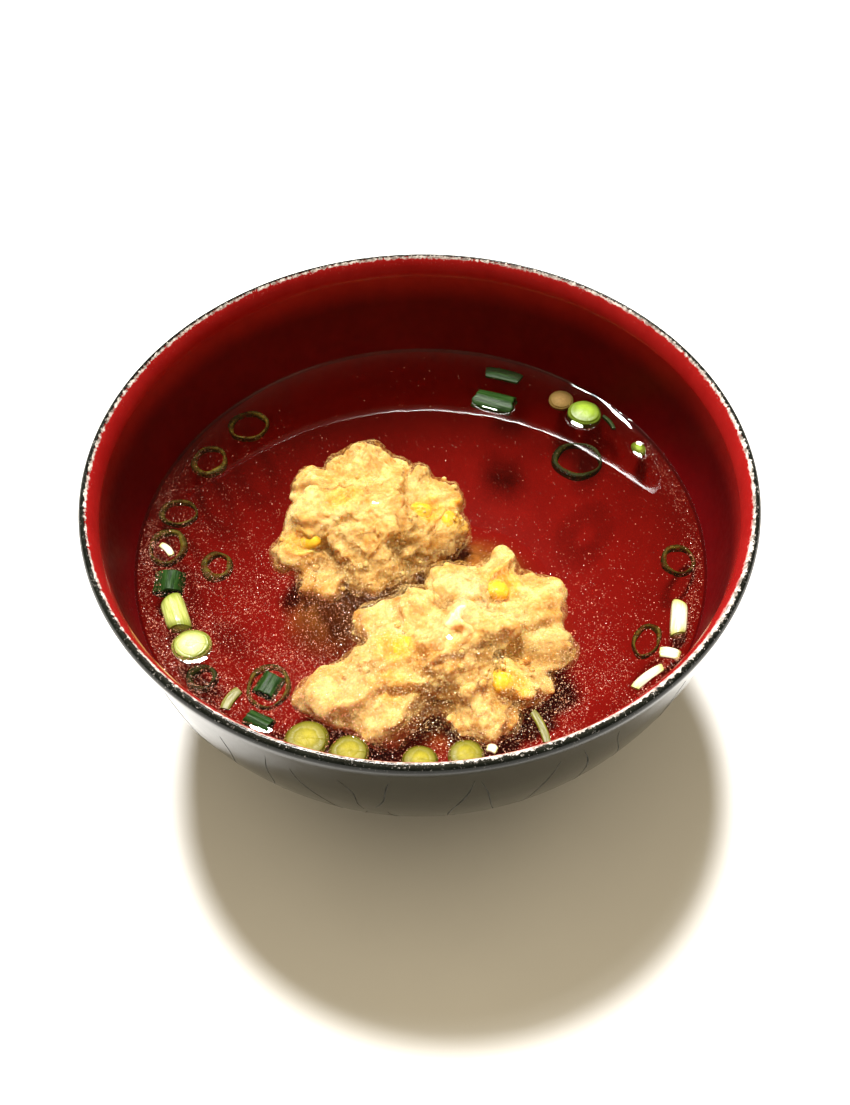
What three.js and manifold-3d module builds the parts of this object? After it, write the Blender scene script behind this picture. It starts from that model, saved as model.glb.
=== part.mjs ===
// A small lacquered soup bowl filled with clear broth, with two rough chicken meatballs
// studded with corn and a scatter of sliced green onion floating round the edge.
// Millimetres, +Z up. The origin is the middle of the foot ring's underside, and -Y is the front.

import * as THREE from 'three';
import { mergeVertices } from 'three/addons/utils/BufferGeometryUtils.js';
import Module from 'manifold-3d';

const wasm = await Module();
wasm.setup();

// ---------- driving dimensions ----------

const RIM_RADIUS = 57.5;
const BOWL_HEIGHT = 62;
const BODY_DEPTH = 54; // from the rim down to the lowest point of the round body
const BODY_POWER = 2.82; // how full the body's side is: 2 would be an ellipse
const RIM_WALL = 2.2;
const FLOOR_WALL = 4.2;
const RIM_ROUNDING = 1.1;
const FOOT_RADIUS = 27;
const FOOT_TOP_RADIUS = 25.5;
const FOOT_WALL = 3.4;
const FOOT_ROUNDING = 0.6;
const FOOT_RECESS = 7.4; // height of the hollow inside the foot ring
const FOOT_CORNER = 1.5; // fillet where that hollow's wall meets its ceiling
const SOUP_LEVEL = 40.1;
const MENISCUS_RISE = 0.8; // the broth climbs the wall by this much
const MENISCUS_WIDTH = 2.6;
const GAP = 0.3; // between pieces that touch
const POCKET_GAP = 0.45; // round a piece that lies in the broth

const BOWL_SIDES = 48;
const OUTSIDE_STEPS = 8;
const INSIDE_STEPS = 9;
const RIM_STEPS = 4;
const BROTH_STEPS = 6;
const SLICE_SIDES = 14;
const POCKET_SIDES = 8;
const STRIP_SIDES = 4;
const BALL_DETAIL = 6;
const KERNEL_DETAIL = 1;

// ---------- helpers ----------

const part = new THREE.Group();

function finish(color, roughness, metalness = 0) {
  return { color, roughness, metalness };
}

const LACQUER = finish(0x7a0d0c, 0.22);
const BROTH = finish(0xa8280f, 0.05);
const MINCE = finish(0xf0cc80, 0.5);
const CORN = finish(0xf2b21e, 0.3);
const ONION_WHITE = finish(0xf1f0c4, 0.35);
const ONION_PALE = finish(0xa9bf3f, 0.35);
const ONION_GREEN = finish(0x1f5420, 0.35);
const ONION_FILM = finish(0x4c4313, 0.35);

function addMesh(name, geometry, look) {
  const mesh = new THREE.Mesh(geometry, new THREE.MeshStandardMaterial(look));
  mesh.name = name;
  part.add(mesh);
  return mesh;
}

function upright(geometry) {
  return geometry.rotateX(Math.PI / 2);
}

// A closed mesh as a solid, taken at its own place in the part.
function solidOf(geometry, matrix = new THREE.Matrix4()) {
  const bare = geometry.clone().applyMatrix4(matrix);
  bare.deleteAttribute('normal');
  bare.deleteAttribute('uv');
  const merged = mergeVertices(bare, 1e-4);
  return new wasm.Manifold(new wasm.Mesh({
    numProp: 3,
    vertProperties: merged.attributes.position.array,
    triVerts: new Uint32Array(merged.index.array),
  }));
}

function geometryOf(solid) {
  const mesh = solid.getMesh();
  const geometry = new THREE.BufferGeometry();
  geometry.setAttribute('position', new THREE.BufferAttribute(mesh.vertProperties, 3));
  geometry.setIndex(new THREE.BufferAttribute(mesh.triVerts, 1));
  geometry.computeVertexNormals();
  return geometry;
}

// ---------- bowl ----------

// A point of the body's outline, moved inward by `inset`. The angle runs from 0 at the rim
// to a right angle at the lowest point, on the curve (r/R)^power + (depth/D)^2 = 1.
function bodyPoint(angle, inset) {
  const radius = RIM_RADIUS * Math.cos(angle) ** (2 / BODY_POWER);
  const depth = BODY_DEPTH * Math.sin(angle);
  const slopeOut = (BODY_POWER / RIM_RADIUS) * (radius / RIM_RADIUS) ** (BODY_POWER - 1);
  const slopeUp = (2 * depth) / BODY_DEPTH ** 2;
  const length = Math.hypot(slopeOut, slopeUp);
  const x = radius - (inset * slopeOut) / length;
  const z = BOWL_HEIGHT - depth + (inset * slopeUp) / length;
  return new THREE.Vector2(Math.max(0, x), z);
}

function wallAt(angle) {
  return RIM_WALL + (FLOOR_WALL - RIM_WALL) * Math.sin(angle) ** 4;
}

function insidePoint(angle, clearance) {
  return bodyPoint(angle, wallAt(angle) + clearance);
}

// The angle at which a rising curve of the body passes a height.
function angleAtHeight(height, curve) {
  let low = 0;
  let high = Math.PI / 2;
  for (let step = 0; step < 40; step += 1) {
    const middle = (low + high) / 2;
    if (curve(middle).y > height) low = middle;
    else high = middle;
  }
  return (low + high) / 2;
}

function curvePoints(from, to, steps, curve) {
  const points = [];
  for (let step = 0; step <= steps; step += 1) {
    points.push(curve(from + ((to - from) * step) / steps));
  }
  return points;
}

function footOutline() {
  const inner = FOOT_RADIUS - FOOT_WALL;
  return [
    new THREE.Vector2(0, FOOT_RECESS),
    new THREE.Vector2(inner - FOOT_CORNER, FOOT_RECESS),
    new THREE.Vector2(inner, FOOT_RECESS - FOOT_CORNER),
    new THREE.Vector2(inner, FOOT_ROUNDING),
    new THREE.Vector2(inner + FOOT_ROUNDING, 0),
    new THREE.Vector2(FOOT_RADIUS - FOOT_ROUNDING, 0),
    new THREE.Vector2(FOOT_RADIUS, FOOT_ROUNDING),
  ];
}

function rimOutline() {
  const middle = RIM_RADIUS - RIM_ROUNDING;
  return curvePoints(Math.PI / 6, (5 * Math.PI) / 6, RIM_STEPS, (turn) => new THREE.Vector2(
    middle + RIM_ROUNDING * Math.cos(turn),
    BOWL_HEIGHT - RIM_ROUNDING + RIM_ROUNDING * Math.sin(turn),
  ));
}

function bowlGeometry() {
  const footAngle = Math.acos((FOOT_TOP_RADIUS / RIM_RADIUS) ** (BODY_POWER / 2));
  const lipAngle = Math.asin(RIM_ROUNDING / BODY_DEPTH);
  const outside = curvePoints(footAngle, lipAngle, OUTSIDE_STEPS, (angle) => bodyPoint(angle, 0));
  const inside = curvePoints(lipAngle, Math.PI / 2, INSIDE_STEPS, (angle) => insidePoint(angle, 0));
  const outline = [...footOutline(), ...outside, ...rimOutline(), ...inside];
  return upright(new THREE.LatheGeometry(outline, BOWL_SIDES));
}

// ---------- meatballs ----------

// Each lump is [x, y, z of its farthest point, radius], and each hollow is
// [x, y, z, half width, depth]. They are measured on the real thing in the bowl's own frame.
const BACK_BALL = {
  name: 'meatball_back',
  middle: [-9, 9.5, 26.8],
  core: 12,
  lumps: [
    [-14, 29.5, 32, 5.4], [-25.5, 23.5, 31, 5], [-5, 26.5, 32.5, 4.4], [2.6, 24, 35, 2.2],
    [7.5, 19.5, 32, 5.2], [9.5, 11.5, 31, 4.6], [6, 5.5, 29.5, 4.6], [-9, -4.5, 31.5, 5.2],
    [-28.5, 3.5, 30, 4.6], [-26, 11.5, 34.5, 5], [-22, -4, 25.5, 5.6], [-10.5, 12.5, 39.6, 4.2],
    [-15, 8, 38, 3.6], [-6, 6, 37, 3.4], [-17, 19, 36, 5], [-8, 8.5, 13.9, 8],
  ],
  hollows: [
    [-18, 3, 32, 3, 3], [-4, 4.5, 32, 3, 2.6], [-2, 14, 35, 2.6, 3], [-11, 7, 36, 1.8, 1.6],
    [-21, 19, 33, 2.6, 2.4],
  ],
};

const FRONT_BALL = {
  name: 'meatball_front',
  middle: [6, -18.5, 26.5],
  core: 11.4,
  lumps: [
    [5, -0.5, 34, 5], [8.8, -7, 39.2, 4], [8.8, -13, 39.2, 3.4], [6.2, -18.5, 40.4, 3],
    [-3.5, -8.5, 36, 4.6], [17, 2, 34.5, 2.8], [25, -4.5, 33.5, 3], [25, -9.5, 34, 4.2],
    [28.5, -17.5, 32, 3.8], [17.5, -14.5, 37.4, 4.4], [-13, -12.5, 33, 4.6],
    [-12.5, -24, 33.5, 6.2], [-22, -31, 29.5, 5.8], [3, -27.5, 35.5, 6], [23.5, -27.5, 31, 5.2],
    [12, -36, 28, 5.4], [-12, -36, 28, 5.4], [5, -16.5, 14.2, 8],
  ],
  hollows: [
    [4.6, -11, 35, 1.8, 4], [9, -22, 36, 2.4, 2.2], [19, -21.5, 34, 2.8, 2.6],
    [5, -31, 31, 2.6, 2.2], [-1.5, -35, 29, 4, 4], [-14, -18, 32, 2.4, 1.8],
  ],
};

const LUMP_SHARPNESS = 24; // a higher power keeps neighbouring lumps more apart
const LUMP_SKIRT = 0.3; // how wide a lump's flank runs out, as a share of its radius
const RIPPLES = 9;
const RIPPLE_SIZE = 0.16;
const RIPPLE_PITCH = 9; // the slowest wave's angle per unit of direction
const RIPPLE_STEP = 1.7; // each next wave is quicker by this
const GOLDEN_TURN = 2.39996; // spaces the waves' axes evenly round the ball

function prepareBall(ball) {
  const middle = new THREE.Vector3(...ball.middle);
  const lumps = ball.lumps.map(([x, y, z, radius]) => {
    const tip = new THREE.Vector3(x, y, z).sub(middle);
    return { centre: tip.multiplyScalar(1 - radius / tip.length()), radius };
  });
  const hollows = ball.hollows.map(([x, y, z, width, depth]) => {
    const place = new THREE.Vector3(x, y, z).sub(middle);
    return { aim: place.clone().normalize(), spread: width / place.length(), depth };
  });
  return { middle, core: ball.core, lumps, hollows };
}

// How far one round lump reaches along a direction from the ball's middle.
function lumpReach(lump, direction) {
  const along = lump.centre.dot(direction);
  if (along <= 0) return 0;
  const aside = Math.sqrt(Math.max(0, lump.centre.lengthSq() - along * along));
  if (aside < lump.radius) return along + Math.sqrt(lump.radius ** 2 - aside ** 2);
  const past = (aside - lump.radius) / (LUMP_SKIRT * lump.radius);
  return along * Math.exp(-past * past);
}

// Fine waves over the surface, each along its own axis of an even spiral of axes.
function ripple(direction) {
  let height = 0;
  for (let wave = 0; wave < RIPPLES; wave += 1) {
    const rise = 1 - (2 * wave + 1) / RIPPLES;
    const round = wave * GOLDEN_TURN;
    const flat = Math.sqrt(1 - rise * rise);
    const along = direction.x * flat * Math.cos(round) + direction.y * flat * Math.sin(round)
      + direction.z * rise;
    height += Math.sin(along * (RIPPLE_PITCH + RIPPLE_STEP * wave) + wave * GOLDEN_TURN);
  }
  return height * RIPPLE_SIZE;
}

function ballReach(ball, direction) {
  let total = ball.core ** LUMP_SHARPNESS;
  for (const lump of ball.lumps) {
    total += lumpReach(lump, direction) ** LUMP_SHARPNESS;
  }
  let reach = total ** (1 / LUMP_SHARPNESS) + ripple(direction);
  for (const hollow of ball.hollows) {
    const angle = direction.angleTo(hollow.aim) / hollow.spread;
    reach -= hollow.depth * Math.exp(-angle * angle);
  }
  return reach;
}

function ballGeometry(ball, clearance) {
  const geometry = new THREE.IcosahedronGeometry(1, BALL_DETAIL);
  const places = geometry.attributes.position;
  const direction = new THREE.Vector3();
  for (let index = 0; index < places.count; index += 1) {
    direction.fromBufferAttribute(places, index).normalize();
    const reach = ballReach(ball, direction) + clearance;
    direction.multiplyScalar(reach).add(ball.middle);
    places.setXYZ(index, direction.x, direction.y, direction.z);
  }
  return geometry;
}

// ---------- corn ----------

const KERNEL_LENGTH = 6.4;
const KERNEL_WIDTH = 5.6;
const KERNEL_THICKNESS = 4;
const KERNEL_TAPER = 0.28; // how much narrower the root end is

// [ball, x, y, z, size, heading of the root end in degrees, tilt in degrees]
const KERNELS = [
  ['back', 7.6, 11.2, 31.8, 1.05, 20, 35],
  ['back', 1.4, 12, 34.4, 0.9, 250, 20],
  ['back', -14.6, 14, 36.4, 0.8, 160, 10],
  ['back', -22.5, 5.5, 32.6, 0.75, 200, 30],
  ['front', 14.6, -5.8, 36.6, 1, 80, 20],
  ['front', -5, -20.5, 36.2, 1, 190, 15],
  ['front', -5.8, -27, 33.6, 0.9, 300, 25],
  ['front', 15.6, -27, 33.2, 0.95, 10, 25],
];

function kernelGeometry(size, clearance) {
  const geometry = new THREE.IcosahedronGeometry(1, KERNEL_DETAIL);
  const places = geometry.attributes.position;
  for (let index = 0; index < places.count; index += 1) {
    const x = places.getX(index);
    const narrow = 1 - KERNEL_TAPER * x;
    const halfLength = (size * KERNEL_LENGTH) / 2 + clearance;
    const halfWidth = (size * KERNEL_WIDTH) / 2 + clearance;
    const halfThickness = (size * KERNEL_THICKNESS) / 2 + clearance;
    const y = places.getY(index) * halfWidth * narrow;
    places.setXYZ(index, x * halfLength, y, places.getZ(index) * halfThickness * narrow);
  }
  return geometry;
}

function placeKernel(mesh, [, x, y, z, , heading, tilt]) {
  mesh.position.set(x, y, z);
  mesh.rotation.order = 'ZYX';
  mesh.rotation.set(0, THREE.MathUtils.degToRad(tilt), THREE.MathUtils.degToRad(heading));
  mesh.updateMatrixWorld();
}

// ---------- green onion ----------

// Each row is a name, [x, y], [width, depth, length along the piece's own axis], how far its highest
// point stands above the broth, its heading in degrees and its look; rings and tubes add their wall.
// Rings and slices are seen from their end. Tubes, stems and strips lie flat along their heading.
const ONION = {
  ring: [
    ['ring_far_left', [-34.2, 31.2], [8.6, 7.8, 1.6], 0.05, 40, ONION_FILM, 0.6],
    ['ring_left_back', [-41.1, 21.9], [7.2, 7.8, 1.8], 0.1, 0, ONION_FILM, 0.7],
    ['ring_left', [-45.5, 8.7], [7.4, 6.6, 1.6], 0.05, 0, ONION_FILM, 0.6],
    ['ring_left_front', [-46.7, 0.4], [7.4, 8.4, 2], 0.3, 0, ONION_FILM, 0.7],
    ['ring_inner_left', [-37.1, -3.8], [6, 6.6, 2], 0.1, 0, ONION_FILM, 1.1],
    ['ring_by_slice', [-37.3, -27.8], [5.6, 5.4, 2.4], 0.1, 0, ONION_GREEN, 0.8],
    ['ring_lower_left', [-25.9, -29.7], [7.8, 8.8, 1.6], 0.05, 0, ONION_FILM, 0.5],
    ['ring_right', [47, -3.9], [6.2, 7.2, 1.8], 0.1, 0, ONION_FILM, 0.55],
    ['ring_right_front', [39, -21.3], [7.6, 4.8, 1.8], 0.1, 60, ONION_FILM, 0.5],
    ['ring_back_right', [30.8, 21.1], [9.8, 9.6, 2.2], 0.1, 0, ONION_GREEN, 0.7],
  ],
  slice: [
    ['slice_left', [-39.8, -21.3], [6.9, 6.4, 3], 0.9, 0, ONION_PALE],
    ['slice_front_left', [-18.9, -40.1], [7.4, 7.2, 3.2], 0.9, 0, ONION_PALE],
    ['slice_front_mid_left', [-11.9, -42.5], [6.5, 6.4, 3], 0.8, 0, ONION_PALE],
    ['slice_front_middle', [-0.4, -44.2], [6, 5.8, 3], 0.8, 0, ONION_PALE],
    ['slice_front_right', [7.1, -43.2], [6, 5.8, 3], 0.8, 0, ONION_PALE],
    ['slice_back_bright', [33.2, 33.2], [6.5, 6.8, 3.4], 1.4, 45, ONION_PALE],
    ['slice_back_tan', [28.9, 37.8], [5.1, 5.3, 2.6], 0.1, 0, ONION_WHITE],
    ['bit_back_right', [43, 23.6], [3.6, 2.6, 2], 0.7, 115, ONION_PALE],
  ],
  tube: [
    ['tube_left_green', [-45.5, -7.5], [5.6, 4.4, 4.6], 0.8, 90, ONION_GREEN, 1.1],
    ['tube_in_ring', [-25.9, -29.3], [4.2, 3.4, 4.2], 0.6, 65, ONION_GREEN, 0.9],
    ['tube_lower_left', [-27, -36.4], [3, 2.8, 4.6], 0.7, -28, ONION_GREEN, 0.8],
    ['tube_back_green', [15.2, 37.3], [5.2, 3.2, 8], 0.8, -20, ONION_GREEN, 0.9],
  ],
  stem: [
    ['stem_left_pale', [-43.4, -14.6], [4.4, 4.2, 7.4], 1.5, -69, ONION_PALE],
    ['stem_right_white', [45.2, -17], [3, 2.8, 7.4], 1.1, 79, ONION_WHITE],
  ],
  strip: [
    ['strip_lower_left', [-31.9, -32.3], [1.9, 0.9, 4.4], 0.5, 60, ONION_PALE],
    ['strip_in_ring', [-46.6, -0.4], [1.3, 0.8, 3.6], 0.5, -48, ONION_WHITE],
    ['bit_front_right', [11.3, -42.3], [1.5, 0.8, 1.8], 0.6, -20, ONION_WHITE],
    ['strip_front_right', [19.5, -38.2], [1.4, 0.9, 6.4], 0.4, -71, ONION_PALE],
    ['strip_right_white', [42.5, -24.4], [2.2, 0.9, 3.6], 0.7, -15, ONION_WHITE],
    ['strip_right_long', [38.2, -29], [1.6, 0.8, 6.8], 0.6, 38, ONION_WHITE],
    ['strip_back_green', [17.4, 44.6], [3.2, 0.9, 7.6], 0.3, -19, ONION_GREEN],
    ['sliver_back_right', [37.9, 30.9], [0.9, 0.9, 4.2], 0.2, -62, ONION_GREEN],
  ],
};

function onionPieces() {
  return Object.entries(ONION).flatMap(([form, rows]) => rows.map((row) => {
    const [name, at, [wide, deep, tall], top, heading, look, wall] = row;
    return { name: `onion_${name}`, form, at, wide, deep, tall, top, heading, look, wall };
  }));
}

const LYING = new Set(['tube', 'stem', 'strip']);
const SLICE_EDGE = 0.4; // the soft edge of a cut slice
const SLICE_CROWN = 0.2; // the middle of a slice swells this much
const STRIP_BOW = 0.35; // how far a strip's middle arches

function stretched(geometry, wide, deep) {
  return geometry.scale(wide / 2, deep / 2, 1);
}

// Rings and tubes: a band of unit radius that closes on itself, then stretched to an oval.
function bandGeometry(piece) {
  const inner = 1 - piece.wall / (Math.min(piece.wide, piece.deep) / 2);
  const half = piece.tall / 2;
  const outline = [[inner, -half], [1, -half], [1, half], [inner, half], [inner, -half]];
  const points = outline.map(([x, y]) => new THREE.Vector2(x, y));
  const band = upright(new THREE.LatheGeometry(points, SLICE_SIDES));
  return stretched(band, piece.wide, piece.deep);
}

// Slices and stems: a disc or rod with soft edges and slightly swollen ends.
function rodGeometry(piece) {
  const edge = SLICE_EDGE / (piece.wide / 2);
  const half = piece.tall / 2;
  const soft = half - SLICE_EDGE;
  const outline = [
    [0, -half], [1 - edge, -half], [1, -soft], [1, soft], [1 - edge, half - SLICE_CROWN], [0, half],
  ];
  const points = outline.map(([x, y]) => new THREE.Vector2(x, y));
  const rod = upright(new THREE.LatheGeometry(points, SLICE_SIDES));
  return stretched(rod, piece.wide, piece.deep);
}

// Strips: one bowed layer of the stem, cut to length.
function stripGeometry(piece) {
  const side = piece.wide / 2;
  const under = -piece.deep / 2;
  const over = piece.deep / 2 - STRIP_BOW / 2;
  const section = new THREE.Shape();
  section.moveTo(-side, under);
  section.quadraticCurveTo(0, under + STRIP_BOW, side, under);
  section.lineTo(side, over);
  section.quadraticCurveTo(0, over + STRIP_BOW, -side, over);
  section.closePath();
  const cut = { depth: piece.tall, bevelEnabled: false, curveSegments: STRIP_SIDES };
  const strip = new THREE.ExtrudeGeometry(section, cut);
  return strip.translate(0, 0, -piece.tall / 2);
}

function onionGeometry(piece) {
  if (piece.form === 'strip') return stripGeometry(piece);
  if (piece.form === 'slice' || piece.form === 'stem') return rodGeometry(piece);
  return bandGeometry(piece);
}

// The room a piece needs in the broth: its own outer form, wider all round.
function pocketGeometry(piece) {
  const grow = 2 * POCKET_GAP;
  const wide = piece.wide + grow;
  const deep = piece.deep + grow;
  const tall = piece.tall + grow;
  if (piece.form === 'strip') return new THREE.BoxGeometry(wide, deep, tall);
  const rounding = 1 / Math.cos(Math.PI / POCKET_SIDES);
  const drum = upright(new THREE.CylinderGeometry(rounding, rounding, tall, POCKET_SIDES));
  return stretched(drum, wide, deep);
}

function placeOnion(mesh, piece) {
  const lying = LYING.has(piece.form);
  const halfHeight = (lying ? piece.deep : piece.tall) / 2;
  const turn = THREE.MathUtils.degToRad(lying ? piece.heading + 90 : piece.heading);
  mesh.position.set(piece.at[0], piece.at[1], SOUP_LEVEL + piece.top - halfHeight);
  mesh.rotation.order = 'ZYX';
  mesh.rotation.set(lying ? Math.PI / 2 : 0, 0, turn);
  mesh.updateMatrixWorld();
}

// ---------- broth ----------

function brothGeometry() {
  const edge = (angle) => insidePoint(angle, GAP);
  const edgeAngle = angleAtHeight(SOUP_LEVEL + MENISCUS_RISE, edge);
  const wall = curvePoints(Math.PI / 2, edgeAngle, BROTH_STEPS, edge);
  const reach = wall[wall.length - 1].x;
  const top = [
    new THREE.Vector2(reach - MENISCUS_WIDTH / 3, SOUP_LEVEL + MENISCUS_RISE / 4),
    new THREE.Vector2(reach - MENISCUS_WIDTH, SOUP_LEVEL),
    new THREE.Vector2(0, SOUP_LEVEL),
  ];
  return upright(new THREE.LatheGeometry([...wall, ...top], BOWL_SIDES));
}

// ---------- assembly ----------

const balls = { back: prepareBall(BACK_BALL), front: prepareBall(FRONT_BALL) };
const meatballs = {
  back: solidOf(ballGeometry(balls.back, 0)),
  front: solidOf(ballGeometry(balls.front, 0)),
};
let broth = solidOf(brothGeometry());

const frontRoom = solidOf(ballGeometry(balls.front, POCKET_GAP));
meatballs.back = meatballs.back.subtract(frontRoom);
for (const ball of Object.values(balls)) {
  broth = broth.subtract(solidOf(ballGeometry(ball, POCKET_GAP)));
}

KERNELS.forEach((kernel, index) => {
  const [side, , , , size] = kernel;
  const mesh = addMesh(`corn_${side}_${index + 1}`, kernelGeometry(size, 0), CORN);
  placeKernel(mesh, kernel);
  const seat = solidOf(kernelGeometry(size, GAP), mesh.matrixWorld);
  meatballs.back = meatballs.back.subtract(seat);
  meatballs.front = meatballs.front.subtract(seat);
  broth = broth.subtract(solidOf(kernelGeometry(size, POCKET_GAP), mesh.matrixWorld));
});

for (const piece of onionPieces()) {
  const mesh = addMesh(piece.name, onionGeometry(piece), piece.look);
  placeOnion(mesh, piece);
  broth = broth.subtract(solidOf(pocketGeometry(piece), mesh.matrixWorld));
}

addMesh('bowl', bowlGeometry(), LACQUER);
addMesh(BACK_BALL.name, geometryOf(meatballs.back), MINCE);
addMesh(FRONT_BALL.name, geometryOf(meatballs.front), MINCE);
addMesh('soup', geometryOf(broth), BROTH);

export default part;
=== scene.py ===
"""A lacquered bowl of clear broth with two rough chicken meatballs, corn and sliced green onion.

Tables and functions work in millimetres, in the model's own frame: +Z up, the origin under the
middle of the foot, -Y the front. Every new piece is a closed surface worked out with numpy.
"""
import math

import bpy
import numpy as np
from mathutils import Matrix


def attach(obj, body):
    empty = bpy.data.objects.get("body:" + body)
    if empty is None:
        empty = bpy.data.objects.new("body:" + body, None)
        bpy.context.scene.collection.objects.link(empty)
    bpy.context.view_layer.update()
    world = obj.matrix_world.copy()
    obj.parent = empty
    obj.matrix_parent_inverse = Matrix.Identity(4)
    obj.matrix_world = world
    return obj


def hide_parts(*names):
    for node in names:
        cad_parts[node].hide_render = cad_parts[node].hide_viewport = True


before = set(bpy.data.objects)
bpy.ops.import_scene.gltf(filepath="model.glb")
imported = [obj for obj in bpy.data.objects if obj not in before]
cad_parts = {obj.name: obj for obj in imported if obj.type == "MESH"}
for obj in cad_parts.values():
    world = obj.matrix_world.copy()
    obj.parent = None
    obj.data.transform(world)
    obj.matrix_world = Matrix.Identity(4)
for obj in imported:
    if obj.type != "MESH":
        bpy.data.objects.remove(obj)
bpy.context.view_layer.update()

MM = 0.001
TURN = 2 * math.pi

# ---------- the bowl's and the broth's measures ----------

RIM_RADIUS = 57.5
BOWL_HEIGHT = 62.0
BODY_DEPTH = 54.0
BODY_POWER = 2.82
RIM_WALL = 2.2
FLOOR_WALL = 4.2
CREST_INSET = 1.25      # from the outer wall to the lip's highest line
LIP_OUTER_DROP = 1.3    # height of the lip's rounding on the black side
LIP_INNER_DROP = 4.0    # height of the lip's slow rounding on the red side
LIP_SWELL = 0.8         # the wall is this much thicker under the lip
LIP_FADE = 16.0         # and thins to its plain thickness over this depth
LIP_FLATNESS = 1.50     # of the lip's red side, where 1 is an ellipse's arc and 2 a straight slope
FOOT_RADIUS = 27.0
FOOT_TOP_RADIUS = 25.5
FOOT_WALL = 3.4
FOOT_EDGE = 0.6
FOOT_RECESS = 7.4
FOOT_CORNER = 1.5
SOUP_LEVEL = 40.1
WALL_CLIMB = 1.15       # the broth climbs the wall by this much
WALL_CLIMB_REACH = 3.0
CLIMB_REACH = 0.5       # and climbs what floats in it over this distance
BROTH_BITE = 0.1        # the broth's body reaches this far into the wall
OUTER_LEAN = 0.8        # the black wall leans in by this much under the lip
LEAN_LENGTH = 12.0      # and leans most at this depth below the rim
LIP_SHINE = 4.2         # the red lacquer is glossy this far down from the rim
CUT_LINES = 46
CUT_TOP = 3.4           # the highest that a cut starts, below the rim
CUT_REACH = 40.0        # and the depth that the cuts run over
CUT_SECTION = (-0.008, -0.03, -0.008, 0.10)     # inset of a cut's edges, crown and keel
WEAR_HEADING = math.radians(-55)                # the lip is most worn here
WEAR_SPREAD = 0.95
LEAST_WEAR = 0.20       # half width of the worn line
MORE_WEAR = 0.36
BOWL_SIDES = 320
BROTH_SIDES = 480


# ---------- meshes ----------

def outward(points, faces):
    """The faces, all turned round if the closed surface they make has a negative volume."""
    volume = 0.0
    for group in faces:
        first = points[group[:, 0]]
        for corner in range(1, group.shape[1] - 1):
            second, third = points[group[:, corner]], points[group[:, corner + 1]]
            volume += np.einsum("ij,ij->", first, np.cross(second, third))
    return [group[:, ::-1] for group in faces] if volume < 0 else faces


def put_piece(name, shape, material, hides=(), fields=None, smooth=True, others=()):
    """A mesh object from points in millimetres and groups of faces, riding on the root. Each of
    the others is a material and a function that picks its faces out by their middles."""
    points, faces = shape
    faces = outward(points, faces)
    corners = np.concatenate([group.ravel() for group in faces]).astype(np.int32)
    counts = np.concatenate([np.full(len(group), group.shape[1]) for group in faces])
    starts = np.concatenate([[0], np.cumsum(counts)[:-1]]).astype(np.int32)
    mesh = bpy.data.meshes.new(name)
    mesh.vertices.add(len(points))
    mesh.vertices.foreach_set("co", (points * MM).astype(np.float32).ravel())
    mesh.loops.add(len(corners))
    mesh.loops.foreach_set("vertex_index", corners)
    mesh.polygons.add(len(counts))
    mesh.polygons.foreach_set("loop_start", starts)
    mesh.update(calc_edges=True)
    mesh.polygons.foreach_set("use_smooth", np.full(len(counts), smooth))
    for field, values in (fields or {}).items():
        layer = mesh.attributes.new(field, "FLOAT", "POINT")
        layer.data.foreach_set("value", np.asarray(values, dtype=np.float32).ravel())
    mesh.materials.append(material)
    chosen = np.zeros(len(counts), dtype=np.int32)
    for number, (other, picks) in enumerate(others, 1):
        mesh.materials.append(other)
        chosen[picks(np.concatenate([points[group].mean(1) for group in faces]))] = number
    mesh.polygons.foreach_set("material_index", chosen)
    piece = bpy.data.objects.new(name, mesh)
    bpy.context.scene.collection.objects.link(piece)
    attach(piece, "root")
    if hides:
        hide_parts(*hides)
    return piece


def closed_skin(rows):
    """Rows of points round a body, each row closed on itself, and a fan over either end."""
    count, around = rows.shape[:2]
    index = np.arange(count * around).reshape(count, around)
    beside = np.roll(index, -1, axis=1)
    quads = np.stack([index[:-1], beside[:-1], beside[1:], index[1:]], -1).reshape(-1, 4)
    ends = np.stack([rows[0].mean(0), rows[-1].mean(0)])
    points = np.concatenate([rows.reshape(-1, 3), ends])
    first = np.stack([beside[0], index[0], np.full(around, count * around)], -1)
    last = np.stack([index[-1], beside[-1], np.full(around, count * around + 1)], -1)
    return points, [quads, np.concatenate([first, last])]


def joined(shapes):
    """Many closed skins as one shape, the faces of each moved on past the points before it."""
    starts = np.cumsum([0] + [len(points) for points, _ in shapes[:-1]])
    groups = [np.concatenate([faces[group] + start for (_, faces), start in zip(shapes, starts)])
              for group in range(2)]
    return np.concatenate([points for points, _ in shapes]), groups


def with_ends(values):
    """A field over the rows of a closed skin, with the mean of each end row for its fan."""
    return np.concatenate([values.ravel(), [values[0].mean(), values[-1].mean()]])


def closed_band(rows):
    """Rows of points that close on themselves in both directions, as a ring does."""
    count, around = rows.shape[:2]
    index = np.arange(count * around).reshape(count, around)
    beside, above = np.roll(index, -1, axis=1), np.roll(index, -1, axis=0)
    quads = np.stack([index, beside, np.roll(beside, -1, axis=0), above], -1).reshape(-1, 4)
    return rows.reshape(-1, 3), [quads]


def turns(count):
    """Angles spread evenly over a full turn."""
    return np.arange(count) * TURN / count


def poles(count):
    """Angles from one pole to the other, without the poles, as a column."""
    return np.linspace(0, math.pi, count + 2)[1:-1, None]


def superellipse(angle, power):
    """cos and sin of an angle, each raised to a power with its sign kept."""
    cosine, sine = np.cos(angle), np.sin(angle)
    return np.sign(cosine) * np.abs(cosine) ** power, np.sign(sine) * np.abs(sine) ** power


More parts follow.
